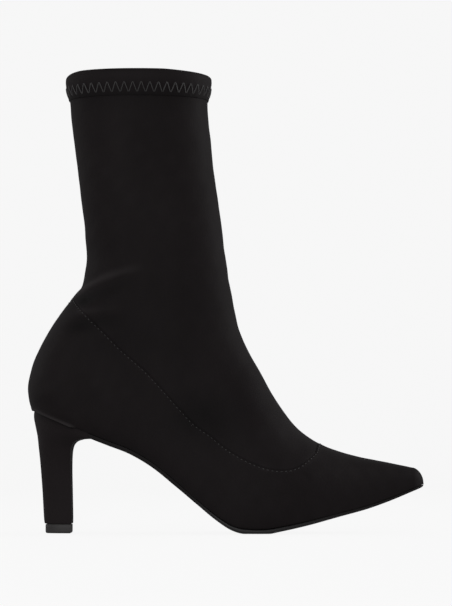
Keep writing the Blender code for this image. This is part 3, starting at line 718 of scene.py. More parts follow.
def hem_profile():
    """The folded section as distance out of the skin and height: lower lip, outer face, roll, inner face,
    inner lip and the slot that holds the cut edge."""
    lip, roll_z = HEM_CLOTH / 2, BOOT_HEIGHT - HEM_ROLL
    outer_z = np.linspace(HEM_LOW + HEM_LIP, roll_z, OUTER_STEPS)
    outer = np.stack([HEM_OUT + hem_swell(outer_z), outer_z], axis=-1)[1:-1]
    inner_z = np.linspace(roll_z, HEM_LOW + lip, INNER_STEPS)
    inner = np.stack([np.full(INNER_STEPS, HEM_IN), inner_z], axis=-1)[1:-1]
    middle, swell = (HEM_OUT + HEM_IN) / 2, hem_swell(roll_z)
    wide = (HEM_OUT - HEM_IN + swell) / 2
    top = half_round(middle + swell / 2, roll_z, wide, HEM_ROLL, 0, 180, ROLL_STEPS)
    lower_lip = half_round(HEM_LIP_GAP + HEM_LIP, HEM_LOW + HEM_LIP, HEM_LIP, HEM_LIP, 180, 360, LIP_STEPS)
    inner_lip = half_round(HEM_IN + lip, HEM_LOW + lip, lip, lip, 180, 360, LIP_STEPS)
    slot_walls = np.array([(-WALL - GAP, CUT_EDGE + GAP), (GAP, CUT_EDGE + GAP)])
    return np.concatenate([lower_lip, outer, top, inner, inner_lip, slot_walls])


def hem_surface(out, z, v):
    """Point of the hem and its normal: out of the skin less the pull on the leg; above the zigzag the height
    falls off towards the back, where the corner is rounded, and gently towards the front."""
    point, normal = collar_ring(z, v)
    from_back, from_front = point[..., 0] - point[..., 0].min(), point[..., 0].max() - point[..., 0]
    fall = BACK_DROP * (1 - rounded_end(from_back, BACK_DROP_LONG))
    fall = fall + FRONT_DROP * np.clip(1 - from_front / FRONT_DROP_LONG, 0, 1)
    drop_from = ZIGZAG_TOP + DROP_ABOVE
    point[..., 2] -= fall * np.clip((z - drop_from) / (BOOT_HEIGHT - drop_from), 0, 1)
    return point + normal * (out - hem_pull(z))[..., None], normal


profile = hem_profile()
hem_v = even_round(ZIGZAG_MIDDLE, HEM_STEPS)
out, z = (np.repeat(profile[:, k:k + 1], HEM_STEPS, axis=1) for k in (0, 1))
zigzag_turn = 2 * np.pi * ZIGZAG_COUNT * np.arange(HEM_STEPS) / HEM_STEPS
pucker = PUCKER * np.sin(zigzag_turn)[None, :] * bell(z - ZIGZAG_MIDDLE, PUCKER_WIDTH) * (out > 0)
hem_points, _ = hem_surface(out + pucker, z, np.repeat(hem_v[None, :], len(profile), axis=0))
# Painted shading on the hem: highlight on the swell above the zigzag, shade on the taper below it.
hem_shading = np.concatenate([hem_swell(z), hem_swell(z[:1])])
hem_marks = {"rub": hem_shading, "seam": np.zeros_like(hem_shading)}
hem = make_rings("hem", np.concatenate([hem_points, hem_points[:1]]), "hem", ("collar_band",), hem_marks)

# %% [markdown]
# ## Thread
#
# Thread is what makes the seams read as sewn: a zigzag round the hem and short straight stitches along the
# seam.  A dashed line in the material would do from afar.  Here each is a thin tube that lies on the cloth
# and dives into it at its ends.  The zigzag is a sine wave drawn out almost to straight strokes.

# %% Tubes
THREAD_AROUND = 6


def tube(line, normal, radius):
    """Rings of points round lines of points: radius times a turn in the plane of the normal and the side.
    The arrays may hold many lines at once, with the points of each along the last axis but one."""
    tangent = np.gradient(line, axis=-2)
    side = np.cross(normal, tangent)
    side /= np.maximum(np.linalg.norm(side, axis=-1, keepdims=True), 1e-9)
    turn = np.linspace(0, 2 * np.pi, THREAD_AROUND, endpoint=False)
    ring = normal[..., None, :] * np.cos(turn)[:, None] + side[..., None, :] * np.sin(turn)[:, None]
    return line[..., None, :] + ring * np.broadcast_to(radius, line.shape[:-1])[..., None, None]


print("points round a thread:", THREAD_AROUND)

# %% Zigzag
ZIGZAG_RADIUS, ZIGZAG_STEPS, ZIGZAG_STRAIGHT, ZIGZAG_LIFT = 0.33, 20, 0.97, 0.20
CORNER_DIVE, CORNER_POWER, LOW_DIVE = 0.42, 12, 0.36
zig_steps = ZIGZAG_COUNT * ZIGZAG_STEPS
zig_v = even_round(ZIGZAG_MIDDLE, zig_steps)
phase = 2 * np.pi * np.arange(zig_steps) / ZIGZAG_STEPS
sway = np.arcsin(ZIGZAG_STRAIGHT * np.sin(phase)) / np.arcsin(ZIGZAG_STRAIGHT)
zig_z = ZIGZAG_MIDDLE + ZIGZAG_HALF * sway
dive = CORNER_DIVE * np.abs(sway) ** CORNER_POWER + LOW_DIVE * np.clip(-sway, 0, 1)
zig_out = HEM_OUT + hem_swell(zig_z) + ZIGZAG_LIFT - dive
zig_line, zig_normal = hem_surface(zig_out, zig_z, zig_v)
zig_line, zig_normal = (np.concatenate([loop, loop[:2]]) for loop in (zig_line, zig_normal))
zig_grid = tube(zig_line, zig_normal, ZIGZAG_RADIUS)[:zig_steps + 1]
zig_grid[-1] = zig_grid[0]
hem_thread = make_rings("hem_thread", zig_grid, "hem")

# %% [markdown]
# ## Stitches along the seam
#
# A straight stitch shows as a row of short strokes, with a hole between two of them.  They could be copies
# of one object.  Here all of them are one mesh: each stroke is a small tube beside the seam, on the foot's
# side, thick in its middle and sunk at both ends.

# %% Seam stitches
STITCH_PITCH, STITCH_HALF, STITCH_RADIUS, STITCH_STEPS, STITCH_AWAY = 2.9, 0.70, 0.24, 7, 1.0
STITCH_LIFT, STITCH_SINK, SINK_POWER, END_POWER = 0.16, 0.30, 3, 6


def beside_seam(away):
    """A line on the foot panel at a distance from the seam, with its normals: the seam moved by the cross
    product of its normal and its direction, then lifted by the relief there."""
    tangent = np.gradient(seam_line, axis=0)
    tangent /= np.linalg.norm(tangent, axis=1, keepdims=True)
    line = seam_line + np.cross(tangent, seam_normal) * away
    height, _, _ = relief(line[None], True)
    return line + seam_normal * height[0][:, None], seam_normal


stitch_line, stitch_normal = beside_seam(STITCH_AWAY)
travelled = steps_of(stitch_line)
middles = np.arange(STITCH_PITCH, travelled[-1] - STITCH_PITCH, STITCH_PITCH)
u = np.linspace(-1, 1, STITCH_STEPS)
places = middles[:, None] + u[None, :] * STITCH_HALF
lines, normals = (
    np.stack([np.interp(places, travelled, source[:, k]) for k in range(3)], axis=-1)
    for source in (stitch_line, stitch_normal)
)
lines += normals * (STITCH_LIFT - STITCH_SINK * np.abs(u) ** SINK_POWER)[None, :, None]
stitch_grid = tube(lines, normals, STITCH_RADIUS * np.sqrt(1 - u**END_POWER)[None, :])
one = grid_faces(STITCH_STEPS, THREAD_AROUND, wrap=True)
starts = np.arange(len(middles)) * STITCH_STEPS * THREAD_AROUND
many = (one[None] + starts[:, None, None]).reshape(-1, 4)
seam_thread = make_piece("seam_thread", stitch_grid, many, "suede")

# %% [markdown]
# ## Sole
#
# The sole is thin: under the ball it lies flat on the floor, in the waist it climbs to the heel, at the toe
# it springs up again.  A cut sheet with a thickness would have square edges.  A section with a groove under
# the upper, a round side and a bevel is carried from the breast of the heel to the tip of the toe instead.

# %% Sole
SOLE_FROM, SOLE_TO, SOLE_STATIONS, SOLE_TIP_ROUND = 0.1573, 0.9990, 260, 2.2
SOLE_MARGIN, FLUSH_MARGIN, GROOVE_LOW, FULL_EDGE_HALF, TIP_THICK = 0.8, 0.15, 0.85, 26.0, 0.4
BALL_FROM, BALL_FADE_IN, BALL_TO, BALL_FADE_OUT = 0.41, 0.07, 0.78, 0.10
WAIST_TO, WAIST_FADE, WAIST_THICKER = 0.43, 0.07, 0.8
TREAD_SHARE, TREAD_STEPS, TOP_STEPS = 0.45, 9, 7
SOLE_EDGE = table("inset rise", [
    (2.20, 1.00), (0.55, 1.00), (0.35, 0.95), (0.38, 0.91), (0.06, 0.86), (0.00, 0.78), (0.00, 0.56),
    (0.15, 0.40), (0.55, 0.27), (1.30, 0.18), (3.20, 0.12), (6.50, 0.08), (11.0, 0.05),
])


def stations(first, last, count):
    """Shares of the length, crowded towards both ends, where the outline turns fastest, as a column."""
    return (first + (last - first) * (1 - np.cos(np.linspace(0, np.pi, count))) / 2)[:, None]


def sole_ring(along):
    """Section of the sole at each station: top from side to side, then the edge's rows of inset and rise
    down one side, the tread, and the edge's rows up the other side.  Round the ball the edge stands out
    under a groove; in the waist and at the toe it is flush with the upper.  The second array is 1 round the
    ball, else 0."""
    top = feather_height(along) - GAP
    bottom = np.maximum(0.0, feather_height(along) - smooth(along, SOLE["along"], SOLE["thick"]))
    middle = swing(along)
    tip = rounded_end((SOLE_TO - along) * LENGTH, SOLE_TIP_ROUND)
    ball = np.clip((along - BALL_FROM) / BALL_FADE_IN, 0, 1)
    ball = ball * np.clip((BALL_TO - along) / BALL_FADE_OUT, 0, 1)
    margin = FLUSH_MARGIN + (SOLE_MARGIN - FLUSH_MARGIN) * ball
    left = (feather_half_width(along, "lateral") + margin) * tip
    right = (feather_half_width(along, "medial") + margin) * tip
    waist = np.clip((WAIST_TO - along) / WAIST_FADE, 0, 1)
    bottom = top + (bottom - top) * (TIP_THICK + (1 - TIP_THICK) * tip) - WAIST_THICKER * waist
    inset = SOLE_EDGE["inset"] * np.minimum(1, np.minimum(left, right) / FULL_EDGE_HALF)
    inset = inset * np.where(SOLE_EDGE["rise"] > GROOVE_LOW, ball, 1)
    rise = bottom + (top - bottom) * SOLE_EDGE["rise"]
    tread = np.linspace(1, -1, TREAD_STEPS) * TREAD_SHARE
    tread_y = middle + np.where(tread > 0, right, left) * tread
    cap = np.linspace(-1, 1, TOP_STEPS)[1:-1]
    cap_y = middle + (np.where(cap > 0, right, left) - inset[:, :1]) * cap
    y = np.concatenate([cap_y, middle + right - inset, tread_y, (middle - left + inset)[:, ::-1]], axis=1)
    cap_z, tread_z = np.repeat(top, len(cap), axis=1), np.repeat(bottom, TREAD_STEPS, axis=1)
    z = np.concatenate([cap_z, rise, tread_z, rise[:, ::-1]], axis=1)
    return np.stack([np.broadcast_to(x_of(along), y.shape), y, z], axis=-1), ball


def capped(rings):
    """Rings with a point in the middle of the first and the last, which closes both ends."""
    ends = [np.repeat(rings[k].mean(axis=0)[None, None], rings.shape[1], axis=1) for k in (0, -1)]
    return np.concatenate([ends[0], rings, ends[1]])


sole_rings, at_ball = sole_ring(stations(SOLE_FROM, SOLE_TO, SOLE_STATIONS))
sole_grid = capped(sole_rings)
bare = np.repeat(np.concatenate([[[0.0]], at_ball, [[0.0]]]), sole_grid.shape[1], axis=1)
sole = make_rings("sole", sole_grid, "sole_rubber", ("outsole",), {"bare": bare}, SHARP)

# %% [markdown]
# ## Insole
#
# Inside lies a board that the upper is glued round, covered with cloth.  It is hardly seen, only down the
# shaft.  A copy of the sole's outline could be scaled, but the edge must keep an even distance from the
# wall, so the half widths are made smaller by that distance instead.

# %% Insole
INSOLE_THICK, INSOLE_SEATING, INSOLE_STATIONS, INSOLE_STEPS = 2.0, 0.1, 140, 15
INSET, EASE, EASE_POWER = WALL + 2 * GAP, 0.35, 14


def insole_rings():
    """Thin board inside the turned edge: at each station a flat underside and a top with eased sides."""
    first, last = SEAT_BACK_ALONG + INSET / LENGTH, 1 - INSET / LENGTH
    along = stations(first, last, INSOLE_STATIONS)
    outline = SEAT_BACK_ALONG + (along - first) / (last - first) * (1 - SEAT_BACK_ALONG)
    left = np.maximum(GAP, feather_half_width(outline, "lateral") - INSET)
    right = np.maximum(GAP, feather_half_width(outline, "medial") - INSET)
    over = np.linspace(-1, 1, INSOLE_STEPS)
    y = swing(along) + np.where(over > 0, right, left) * over
    low = np.repeat(feather_height(along) + INSOLE_SEATING, INSOLE_STEPS, axis=1)
    high = low + INSOLE_THICK * (1 - EASE * np.abs(over) ** EASE_POWER)
    x = np.repeat(x_of(along), 2 * INSOLE_STEPS, axis=1)
    y, z = np.concatenate([y, y[:, ::-1]], axis=1), np.concatenate([high, low[:, ::-1]], axis=1)
    return np.stack([x, y, z], axis=-1)


insole = make_rings("insole_board", capped(insole_rings()), "insole_cloth", ("insole",), sharp=SHARP)

# %% [markdown]
# ## Heel
#
# The heel is a block covered with the same cloth: a cup that fits under the seat, drawn in to a slim stem,
# with a flat breast towards the waist.  It could be turned on a lathe only if it were round.  Rings from
# back to breast are stacked instead.

# %% Heel
HEEL = table("back_along back_rise front_along front_rise half", [
    (0.0155, 0.924, 0.1569, 0.768, 0.322), (0.0200, 0.853, 0.1372, 0.764, 0.292),
    (0.0240, 0.788, 0.1194, 0.740, 0.247), (0.0268, 0.704, 0.1112, 0.680, 0.198),
    (0.0313, 0.569, 0.1098, 0.543, 0.152), (0.0368, 0.349, 0.1113, 0.349, 0.129),
    (0.0414, 0.108, 0.1128, 0.104, 0.119), (0.0454, 0.077, 0.1106, 0.077, 0.110),
])
HEEL_FRONT_ALONG, BREAST_HOLLOW, SEAT_GAP, SHOULDER, UNDER_ROLL_SHADE = 0.157, 0.7, 0.06, 1.1, -1.6
HEEL_RINGS, LEAD_STEPS, ARC_STEPS, BREAST_STEPS = 110, 9, 72, 16


def d_ring(back, front, half, hollow):
    """Rings with a round back, a superellipse, and a slightly hollow breast: x and y for arrays of sizes."""
    turn = np.linspace(-np.pi / 2, np.pi / 2, ARC_STEPS + 1)[None, :]
    power = 2 / ROUNDNESS
    back, front, half, hollow = (np.reshape(value, (-1, 1)) for value in (back, front, half, hollow))
    arc_x = front - (front - back) * np.maximum(np.cos(turn), 0) ** power
    arc_y = half * np.sign(turn) * np.abs(np.sin(turn)) ** power
    share = (np.arange(1, BREAST_STEPS) / BREAST_STEPS)[None, :]
    breast_x = front - hollow * np.sin(np.pi * share)
    breast_y = half * (1 - 2 * share)
    return np.concatenate([arc_x, breast_x], axis=1), np.concatenate([arc_y, breast_y], axis=1)


def seat_ring():
    """The heel's top: the feather line's outline behind the breast."""
    turn = np.linspace(-np.pi / 2, np.pi / 2, ARC_STEPS + 1)
    reach = np.maximum(np.cos(turn), 0) ** (2 / ROUNDNESS)
    along = HEEL_FRONT_ALONG - (HEEL_FRONT_ALONG - SEAT_BACK_ALONG) * reach
    half = on_side(turn, feather_half_width(along, "lateral"), feather_half_width(along, "medial"))
    arc = np.stack([x_of(along), np.sign(turn) * half, feather_height(along) - SEAT_GAP], axis=-1)
    share = (np.arange(1, BREAST_STEPS) / BREAST_STEPS)[:, None]
    return np.concatenate([arc, arc[-1] + (arc[0] - arc[-1]) * share])


print("corners of a heel ring:", len(seat_ring()))

# %% [markdown]
# ## The heel's cover
#
# Under the rolled edge of the upper the cover is drawn in, which leaves the dark line between the two.
# Moving the first few rings inwards gives it from every side, and those rings also carry a painted shade
# that darkens the line further.  The table's rows shape the rest of the block.

# %% Heel cover
at = np.linspace(0, len(HEEL["half"]) - 1, HEEL_RINGS)
size = {name: smooth(at, np.arange(len(values)), values) for name, values in HEEL.items()}
hollow = BREAST_HOLLOW * np.clip(at / 2, 0, 1)
back_x, front_x = (x_of(size[name])[:, None] for name in ("back_along", "front_along"))
ring_x, ring_y = d_ring(back_x, front_x, size["half"] * BALL_WIDTH, hollow)
slope = np.clip((ring_x - back_x) / (front_x - back_x), 0, 1)
ring_z = HEEL_HEIGHT * (size["back_rise"][:, None] * (1 - slope) + size["front_rise"][:, None] * slope)
stem = np.stack([ring_x, ring_y, ring_z], axis=-1)
lead = np.linspace(0, 1, LEAD_STEPS + 1)[:-1, None]
heel_rings = np.concatenate([seat_ring()[None] * (1 - lead[..., None]) + stem[:1] * lead[..., None], stem])
under_roll = heel_rings[:LEAD_STEPS]
drawn_in = (1 - lead) ** 2 * roll_share(under_roll[..., 0])
inwards = np.array([x_of(HEEL_TURN_ALONG), 0.0]) - under_roll[..., :2]
inwards /= np.linalg.norm(inwards, axis=-1, keepdims=True)
under_roll[..., :2] += SHOULDER * inwards * drawn_in[..., None]
heel_grid = capped(heel_rings)
heel_shading = np.zeros(heel_grid.shape[:2])
# Painted shade on the drawn-in rings under the roll, which darkens the line.
heel_shading[1:LEAD_STEPS + 1] = UNDER_ROLL_SHADE * drawn_in
heel_marks = {"rub": heel_shading, "seam": np.zeros_like(heel_shading)}
heel = make_rings("heel_cover", heel_grid, "heel_cover", ("heel",), heel_marks, SHARP)

# %% [markdown]
# ## Lift
#
# The lift is the small rubber piece that meets the floor, made to be replaced when it is worn.  A scaled
# cube would do from afar.  Here the heel's own ring is stacked with eased edges at the top and the bottom,
# and a narrow neck closes the joint to the stem.

# %% Lift
LIFT_BACK, LIFT_FRONT, LIFT_HALF = x_of(0.0450), x_of(0.1115), 0.109 * BALL_WIDTH
LIFT = table("inset height", [
    (0.75, 5.93), (0.65, 5.66), (0.50, 5.65), (0.15, 5.57), (0.00, 5.30), (0.00, 3.5), (0.00, 1.25),
    (0.08, 0.80), (0.30, 0.36), (0.60, 0.10), (0.90, 0.00),
])
inset = LIFT["inset"]
lift_x, lift_y = d_ring(LIFT_BACK + inset, LIFT_FRONT - inset, LIFT_HALF - inset, BREAST_HOLLOW)
lift_z = np.broadcast_to(LIFT["height"][:, None], lift_x.shape)
lift_grid = capped(np.stack([lift_x, lift_y, lift_z], axis=-1))
lift_marks = {"bare": np.ones(lift_grid.shape[:2])}
lift = make_rings("heel_lift", lift_grid, "lift_rubber", ("heel_top_piece",), lift_marks, SHARP)

# %% [markdown]
# ## Writing finishes as sums
#
# A finish is a small calculation for each point: noise here, a mask there.  Wiring nodes by hand hides it.
# The class below lets sockets be added and multiplied like numbers, and each sum becomes a Math node.


# %% Socket arithmetic
class Wire:
    """An output socket of a material, with arithmetic that adds Math nodes."""

    def __init__(self, tree, socket=None):
        self.tree, self.socket = tree, socket

    def add_node(self, kind, settings=None, inputs=None, out=0):
        """Adds a node of a type, applies its settings, then fills its sockets with values or links."""
        node = self.tree.nodes.new(kind)
        for name, value in (settings or {}).items():
            setattr(node, name, value)
        for key, value in (inputs or {}).items():
            if isinstance(value, Wire):
                self.tree.links.new(value.socket, node.inputs[key])
            else:
                node.inputs[key].default_value = value
        return Wire(self.tree, node.outputs[out])

    def maths(self, operation, a, b):
        """A Math node with two inputs."""
        return self.add_node("ShaderNodeMath", {"operation": operation}, {0: a, 1: b})

    def __add__(self, other):
        return self.maths("ADD", self, other)

    __radd__ = __add__

    def __sub__(self, other):
        return self.maths("SUBTRACT", self, other)

    def __rsub__(self, other):
        return self.maths("SUBTRACT", other, self)

    def __mul__(self, other):
        return self.maths("MULTIPLY", self, other)

    __rmul__ = __mul__

    def held(self, low, high):
        """The value kept between two bounds."""
        return self.maths("MINIMUM", self.maths("MAXIMUM", self, low), high)

    def between(self, first, second):
        """Colour from first, where the value is 0, to second, where it is 1."""
        return self.add_node("ShaderNodeMix", {"data_type": "RGBA"}, {0: self, 6: first, 7: second}, out=2)


def start_finish(name):
    """A new material: its shader node and a Wire for adding nodes to it."""
    made = bpy.data.materials.new(name)
    made.use_nodes = True
    return made, made.node_tree.nodes["Principled BSDF"], Wire(made.node_tree)


def set_finish(shader, wires, numbers):
    """Links the varying values and sets the others on the shader's own sockets."""
    for name, wire in wires.items():
        wire.tree.links.new(wire.socket, shader.inputs[name])
    for name, value in numbers.items():
        shader.inputs[name].default_value = value


def object_place(wire, stretch=(1.0, 1.0, 1.0)):
    """The piece's own coordinates in metres, stretched along the axes."""
    place = wire.add_node("ShaderNodeTexCoord", out=3)
    return wire.add_node("ShaderNodeMapping", {"vector_type": "POINT"}, {"Vector": place, "Scale": stretch})


def noise(wire, place, per_metre, detail=2.0, rough=0.5):
    """Cloudy noise from 0 to 1, with a number of clouds to the metre."""
    inputs = {"Vector": place, "Scale": per_metre, "Detail": detail, "Roughness": rough}
    return wire.add_node("ShaderNodeTexNoise", None, inputs)


def mark_of(wire, name):
    """A value that was kept on the piece's points."""
    return wire.add_node("ShaderNodeAttribute", {"attribute_name": name}, out=2)


def scaled(colour, share):
    """A colour times a share, still opaque."""
    return tuple(share * part for part in colour[:3]) + (1.0,)


def bump(wire, height, strength, depth):
    """Normals of a surface embossed by a height, depth in metres."""
    return wire.add_node("ShaderNodeBump", None, {"Height": height, "Strength": strength, "Distance": depth})


# %% [markdown]
# ## Suede
#
# Stretch suede is a knit with a very short brushed pile.  It is nearly black, drinks light face on and
# gathers a soft sheen where it turns away.  Hairs would be too many, so the pile is a sheen on the shader, a
# fine grain of bump and cloudy brush marks.  Where folds stand up the colour carries a painted highlight,
# in troughs a painted shade.

# %% Suede finishes
BLACK_LOW, BLACK_HIGH = (0.0130, 0.0102, 0.0109, 1.0), (0.0240, 0.0190, 0.0202, 1.0)
# Painted highlight colour for ridges, and painted shade colour for troughs.
RIDGE_HIGHLIGHT, TROUGH_SHADE = (0.0560, 0.0490, 0.0505, 1.0), (0.0040, 0.0034, 0.0036, 1.0)


def suede(name, highlight_gain=0.50, lit_copy_gain=1.0):
    """Colour from dark to light by brush clouds plus grain, towards a painted highlight on ridges and beside
    the seam and towards a painted shade in troughs; lit_copy_gain above 1 paints the whole colour lighter.
    Roughness and bump follow the grain."""
    made, shader, wire = start_finish(name)
    place = object_place(wire)
    clouds = noise(wire, object_place(wire, (1.0, 1.0, 0.45)), 42.0, 3.0, 0.55)
    grain = noise(wire, place, 1900.0, 2.0, 0.6)
    pile = noise(wire, object_place(wire, (1.0, 1.0, 0.35)), 900.0, 3.0, 0.6)
    rub, seam = mark_of(wire, "rub"), mark_of(wire, "seam")
    light = (0.55 * clouds + 0.55 * grain + 0.35 * pile - 0.30).held(0.0, 1.0)
    base = light.between(scaled(BLACK_LOW, lit_copy_gain), scaled(BLACK_HIGH, lit_copy_gain))
    # Painted shade in troughs.
    trough_shaded = (rub * -0.45).held(0.0, 0.8).between(base, TROUGH_SHADE)
    # Painted highlight on ridges and along the seam.
    colour = (rub * highlight_gain + seam * 0.06).held(0.0, 0.95).between(trough_shaded, RIDGE_HIGHLIGHT)
    rough = (0.58 + 0.24 * grain - 0.12 * clouds).held(0.45, 0.95)
    normal = bump(wire, grain * 0.6 + pile, 0.35, 0.00022)
    set_finish(
        shader,
        {"Base Color": colour, "Roughness": rough, "Normal": normal},
        {"Specular IOR Level": 0.14, "Sheen Weight": 0.035, "Sheen Roughness": 0.40,
         "Sheen Tint": (0.95, 0.92, 0.94, 1.0)},
    )
    return made


suede_finish = suede("black_stretch_suede")
hem_finish = suede("black_hem", 0.30)
# A lit copy of the suede: the heel cover's colour is painted 1.4 times lighter.
cover_finish = suede("black_heel_cover", lit_copy_gain=1.4)
print("suede finishes: 3")

# %% [markdown]
# ## Lining and thread
#
# The inside is a smooth dark jersey, and the thread is black polyester that shines a little.  Ribs and twist
# could be modelled, but they are finer than a pixel here.  A wave texture draws them: level bands for the
# ribs, slanted ones for the twist.


# %% Lining and thread
def bands(wire, direction, inputs):
    """Bands of light and dark across a direction."""
    settings = {"wave_type": "BANDS", "bands_direction": direction}
    return wire.add_node("ShaderNodeTexWave", settings, {"Vector": object_place(wire), **inputs}, out=1)


def lining(name, colour):
    """Fine ribs of jersey: a sine along the height shades colour and bump."""
    made, shader, wire = start_finish(name)
    ribs = bands(wire, "Z", {"Scale": 320.0, "Distortion": 1.2, "Detail": 1.0})
    fibre = noise(wire, object_place(wire), 1500.0)
    set_finish(
        shader,
        {"Base Color": (0.5 * ribs + 0.5 * fibre).between(scaled(colour, 0.6), colour),
         "Roughness": 0.7 + 0.2 * fibre, "Normal": bump(wire, ribs + 0.4 * fibre, 0.4, 0.0002)},
        {"Specular IOR Level": 0.25, "Sheen Weight": 0.10},
    )
    return made


def thread(name, colour):
    """Twisted thread: slanted bands darken the strand between its plies."""
    made, shader, wire = start_finish(name)
    twist = bands(wire, "DIAGONAL", {"Scale": 900.0, "Distortion": 0.6})
    set_finish(
        shader,
        {"Base Color": twist.between(scaled(colour, 0.55), colour), "Roughness": 0.42 + 0.15 * twist},
        {"Specular IOR Level": 0.6, "Sheen Weight": 0.2},
    )
    return made


lining_finish = lining("black_jersey_lining", (0.016, 0.015, 0.015, 1.0))
board_finish = lining("black_insole_cloth", (0.020, 0.019, 0.019, 1.0))
thread_finish = thread("black_thread", (0.075, 0.070, 0.072, 1.0))
print("lining, insole and thread finishes: 3")

# %% [markdown]
# ## Rubber
#
# The sole is a satin rubber and the lift a greyer one, both with faint mould grain and scuffs.  In the waist
# and at the toe the sole's edge is near black and matt, round the ball it is grey.  Two materials would
# leave a hard border, so one material fades from the near black to the grey rubber by the mark that the
# sole's mesh carries.

# %% Rubber
EDGE_NEAR_BLACK = (0.0165, 0.0135, 0.0143, 1.0)


def rubber(name, low, high, rough_from, rough_to):
    """Moulded rubber: clouds and fine grain vary colour and roughness, and the grain is faintly embossed.
    Where the mark bare is 0 it is near black and matt."""
    made, shader, wire = start_finish(name)
    place = object_place(wire)
    clouds = noise(wire, place, 60.0, 4.0, 0.6)
    grain = noise(wire, place, 1400.0, 2.0, 0.5)
    scuff = noise(wire, object_place(wire, (0.25, 1.0, 2.0)), 220.0, 4.0, 0.65)
    bare = mark_of(wire, "bare")
    rough = rough_from + (rough_to - rough_from) * (0.5 * clouds + 0.5 * scuff)
    set_finish(
        shader,
        {"Base Color": bare.between(EDGE_NEAR_BLACK, (0.6 * clouds + 0.4 * grain).between(low, high)),
         "Roughness": (rough + 0.4 * (1.0 - bare)).held(0.1, 1.0),
         "Normal": bump(wire, grain + 0.5 * scuff, 0.25, 0.00012)},
        {"Specular IOR Level": 0.5},
    )
    return made


SOLE_LOW, SOLE_HIGH = (0.015, 0.014, 0.015, 1.0), (0.027, 0.025, 0.026, 1.0)
LIFT_LOW, LIFT_HIGH = (0.039, 0.036, 0.037, 1.0), (0.066, 0.062, 0.063, 1.0)
sole_finish = rubber("black_sole_rubber", SOLE_LOW, SOLE_HIGH, 0.40, 0.58)
lift_finish = rubber("dark_grey_lift_rubber", LIFT_LOW, LIFT_HIGH, 0.42, 0.60)
print("rubber finishes: 2")

# %% [markdown]
# ## Which piece wears what
#
# Both panels carry two finishes: suede outside, and on the inner face, which Solidify gives the second slot,
# the lining.  All other pieces wear one.  They could be set in the side bar, but a table shows them at once.

# %% Finishes on the pieces
worn_by = {
    foot_panel: (suede_finish, lining_finish),
    sock_panel: (suede_finish, lining_finish),
    hem: (hem_finish,),
    hem_thread: (thread_finish,),
    seam_thread: (thread_finish,),
    sole: (sole_finish,),
    insole: (board_finish,),
    heel: (cover_finish,),
    lift: (lift_finish,),
}
for piece, finishes in worn_by.items():
    for finish in finishes:
        piece.data.materials.append(finish)
print("finished pieces:", len(worn_by))

# %% [markdown]
# ## Studio floor
#
# The boot was photographed from its outer side on a pale ground without a visible edge.  A plane and a wall
# would show a line where they meet.  A sheet of paper that bends up behind the boot has none, and it gives
# light of its own, so that it stays evenly pale whatever the lamps do.

# %% Floor
FLOOR_HALF, SWEEP_BACK, SWEEP_RADIUS, SWEEP_HEIGHT, BEND_STEPS = 4.0, 2.2, 0.8, 3.0, 24
WHITE = (1.0, 1.0, 1.0, 1.0)


def sweep_profile():
    """Floor, a quarter circle and a wall, as y and z in metres."""
    turn = np.linspace(0, np.pi / 2, BEND_STEPS)
    bend_y, bend_z = SWEEP_BACK + SWEEP_RADIUS * np.sin(turn), SWEEP_RADIUS * (1 - np.cos(turn))
    y = np.concatenate([[-FLOOR_HALF], bend_y, [SWEEP_BACK + SWEEP_RADIUS]])
    return y, np.concatenate([[0.0], bend_z, [SWEEP_HEIGHT]])


sweep_y, sweep_z = sweep_profile()
sides = np.array([-FLOOR_HALF, FLOOR_HALF])
sweep = np.stack(np.broadcast_arrays(sides[None, :], sweep_y[:, None], sweep_z[:, None]), axis=-1)
sweep_mesh = bpy.data.meshes.new("floor")
sweep_mesh.from_pydata(sweep.reshape(-1, 3).tolist(), [], grid_faces(len(sweep_y), 2).tolist())
sweep_mesh.shade_smooth()
floor = bpy.data.objects.new("floor", sweep_mesh)
bpy.context.scene.collection.objects.link(floor)
paper, paper_shader, _ = start_finish("pale_paper")
set_finish(paper_shader, {}, {
    "Base Color": (0.12, 0.12, 0.12, 1.0), "Roughness": 1.0, "Specular IOR Level": 0.0,
    "Emission Color": WHITE, "Emission Strength": 0.90,
})
sweep_mesh.materials.append(paper)
floor.visible_diffuse = floor.visible_glossy = False
print("floor and backdrop: one sweep")

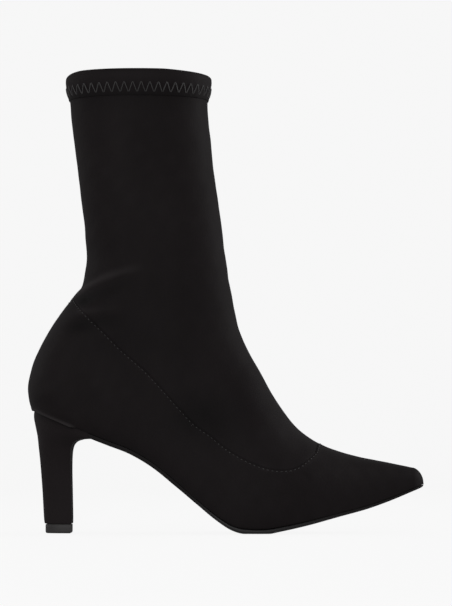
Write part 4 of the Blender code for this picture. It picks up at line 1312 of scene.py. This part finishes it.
# %% [markdown]
# ## Light
#
# Black suede shows only where light grazes it.  Two tall soft boxes stand behind the boot, left and right,
# and draw the soft bands along the shin, the counter and the vamp.  A wide one in front and a faint white
# sky lift the rest.  One strong lamp would be simpler, but its edges would be hard.

# %% Light
SKY = 0.19
LIGHTS = {
    "left_box": ((-1.4, 0.40, 0.60), (-0.05, 0.0, 0.15), (0.6, 1.0), 1.8),
    "right_box": ((1.5, 0.28, 0.50), (0.0, 0.0, 0.15), (0.5, 1.4), 7.0),
    "front_box": ((-0.5, -1.75, 0.45), (0.0, 0.0, 0.1), (2.0, 1.2), 8.5),
}


def aim(thing, place, target):
    """Puts a lamp or camera at a place, turned so that its -Z points at the target."""
    thing.location = place
    gaze = Vector(target) - Vector(place)
    thing.rotation_euler = gaze.to_track_quat("-Z", "Y").to_euler()


for name, (place, target, size, power) in LIGHTS.items():
    lamp = bpy.data.lights.new(name, "AREA")
    lamp.shape = "RECTANGLE"
    lamp.size, lamp.size_y = size
    lamp.energy = power
    box = bpy.data.objects.new(name, lamp)
    aim(box, place, target)
    bpy.context.scene.collection.objects.link(box)
world = bpy.data.worlds.new("studio")
world.use_nodes = True
sky = world.node_tree.nodes["Background"]
sky.inputs["Color"].default_value = WHITE
sky.inputs["Strength"].default_value = SKY
bpy.context.scene.world = world
bpy.context.scene.view_settings.view_transform = "Standard"
print("lights:", ", ".join(LIGHTS))

# %% [markdown]
# ## Camera
#
# The photograph looks at the outer side from low down and up a little, so the collar is seen from below.  A
# camera can be placed by eye in the viewport.  Here its place comes from the same two numbers that found the
# seam, and the lens from the height that the picture has to show along its taller side.

# %% Camera
FRAME_HIGH = 384.0
lens_camera = bpy.data.cameras.new("camera")
lens_camera.sensor_width = 36.0
lens_camera.lens = lens_camera.sensor_width * CAMERA_BACK / FRAME_HIGH
lens_camera.clip_start, lens_camera.clip_end = 0.05, 20.0
camera = bpy.data.objects.new("camera", lens_camera)
aim(camera, (0.0, -CAMERA_BACK * MM, CAMERA_HEIGHT * MM), (0.0, 0.0, BOOT_HEIGHT / 2 * MM))
bpy.context.scene.collection.objects.link(camera)
bpy.context.scene.camera = camera
print("lens: %.0f mm" % lens_camera.lens)
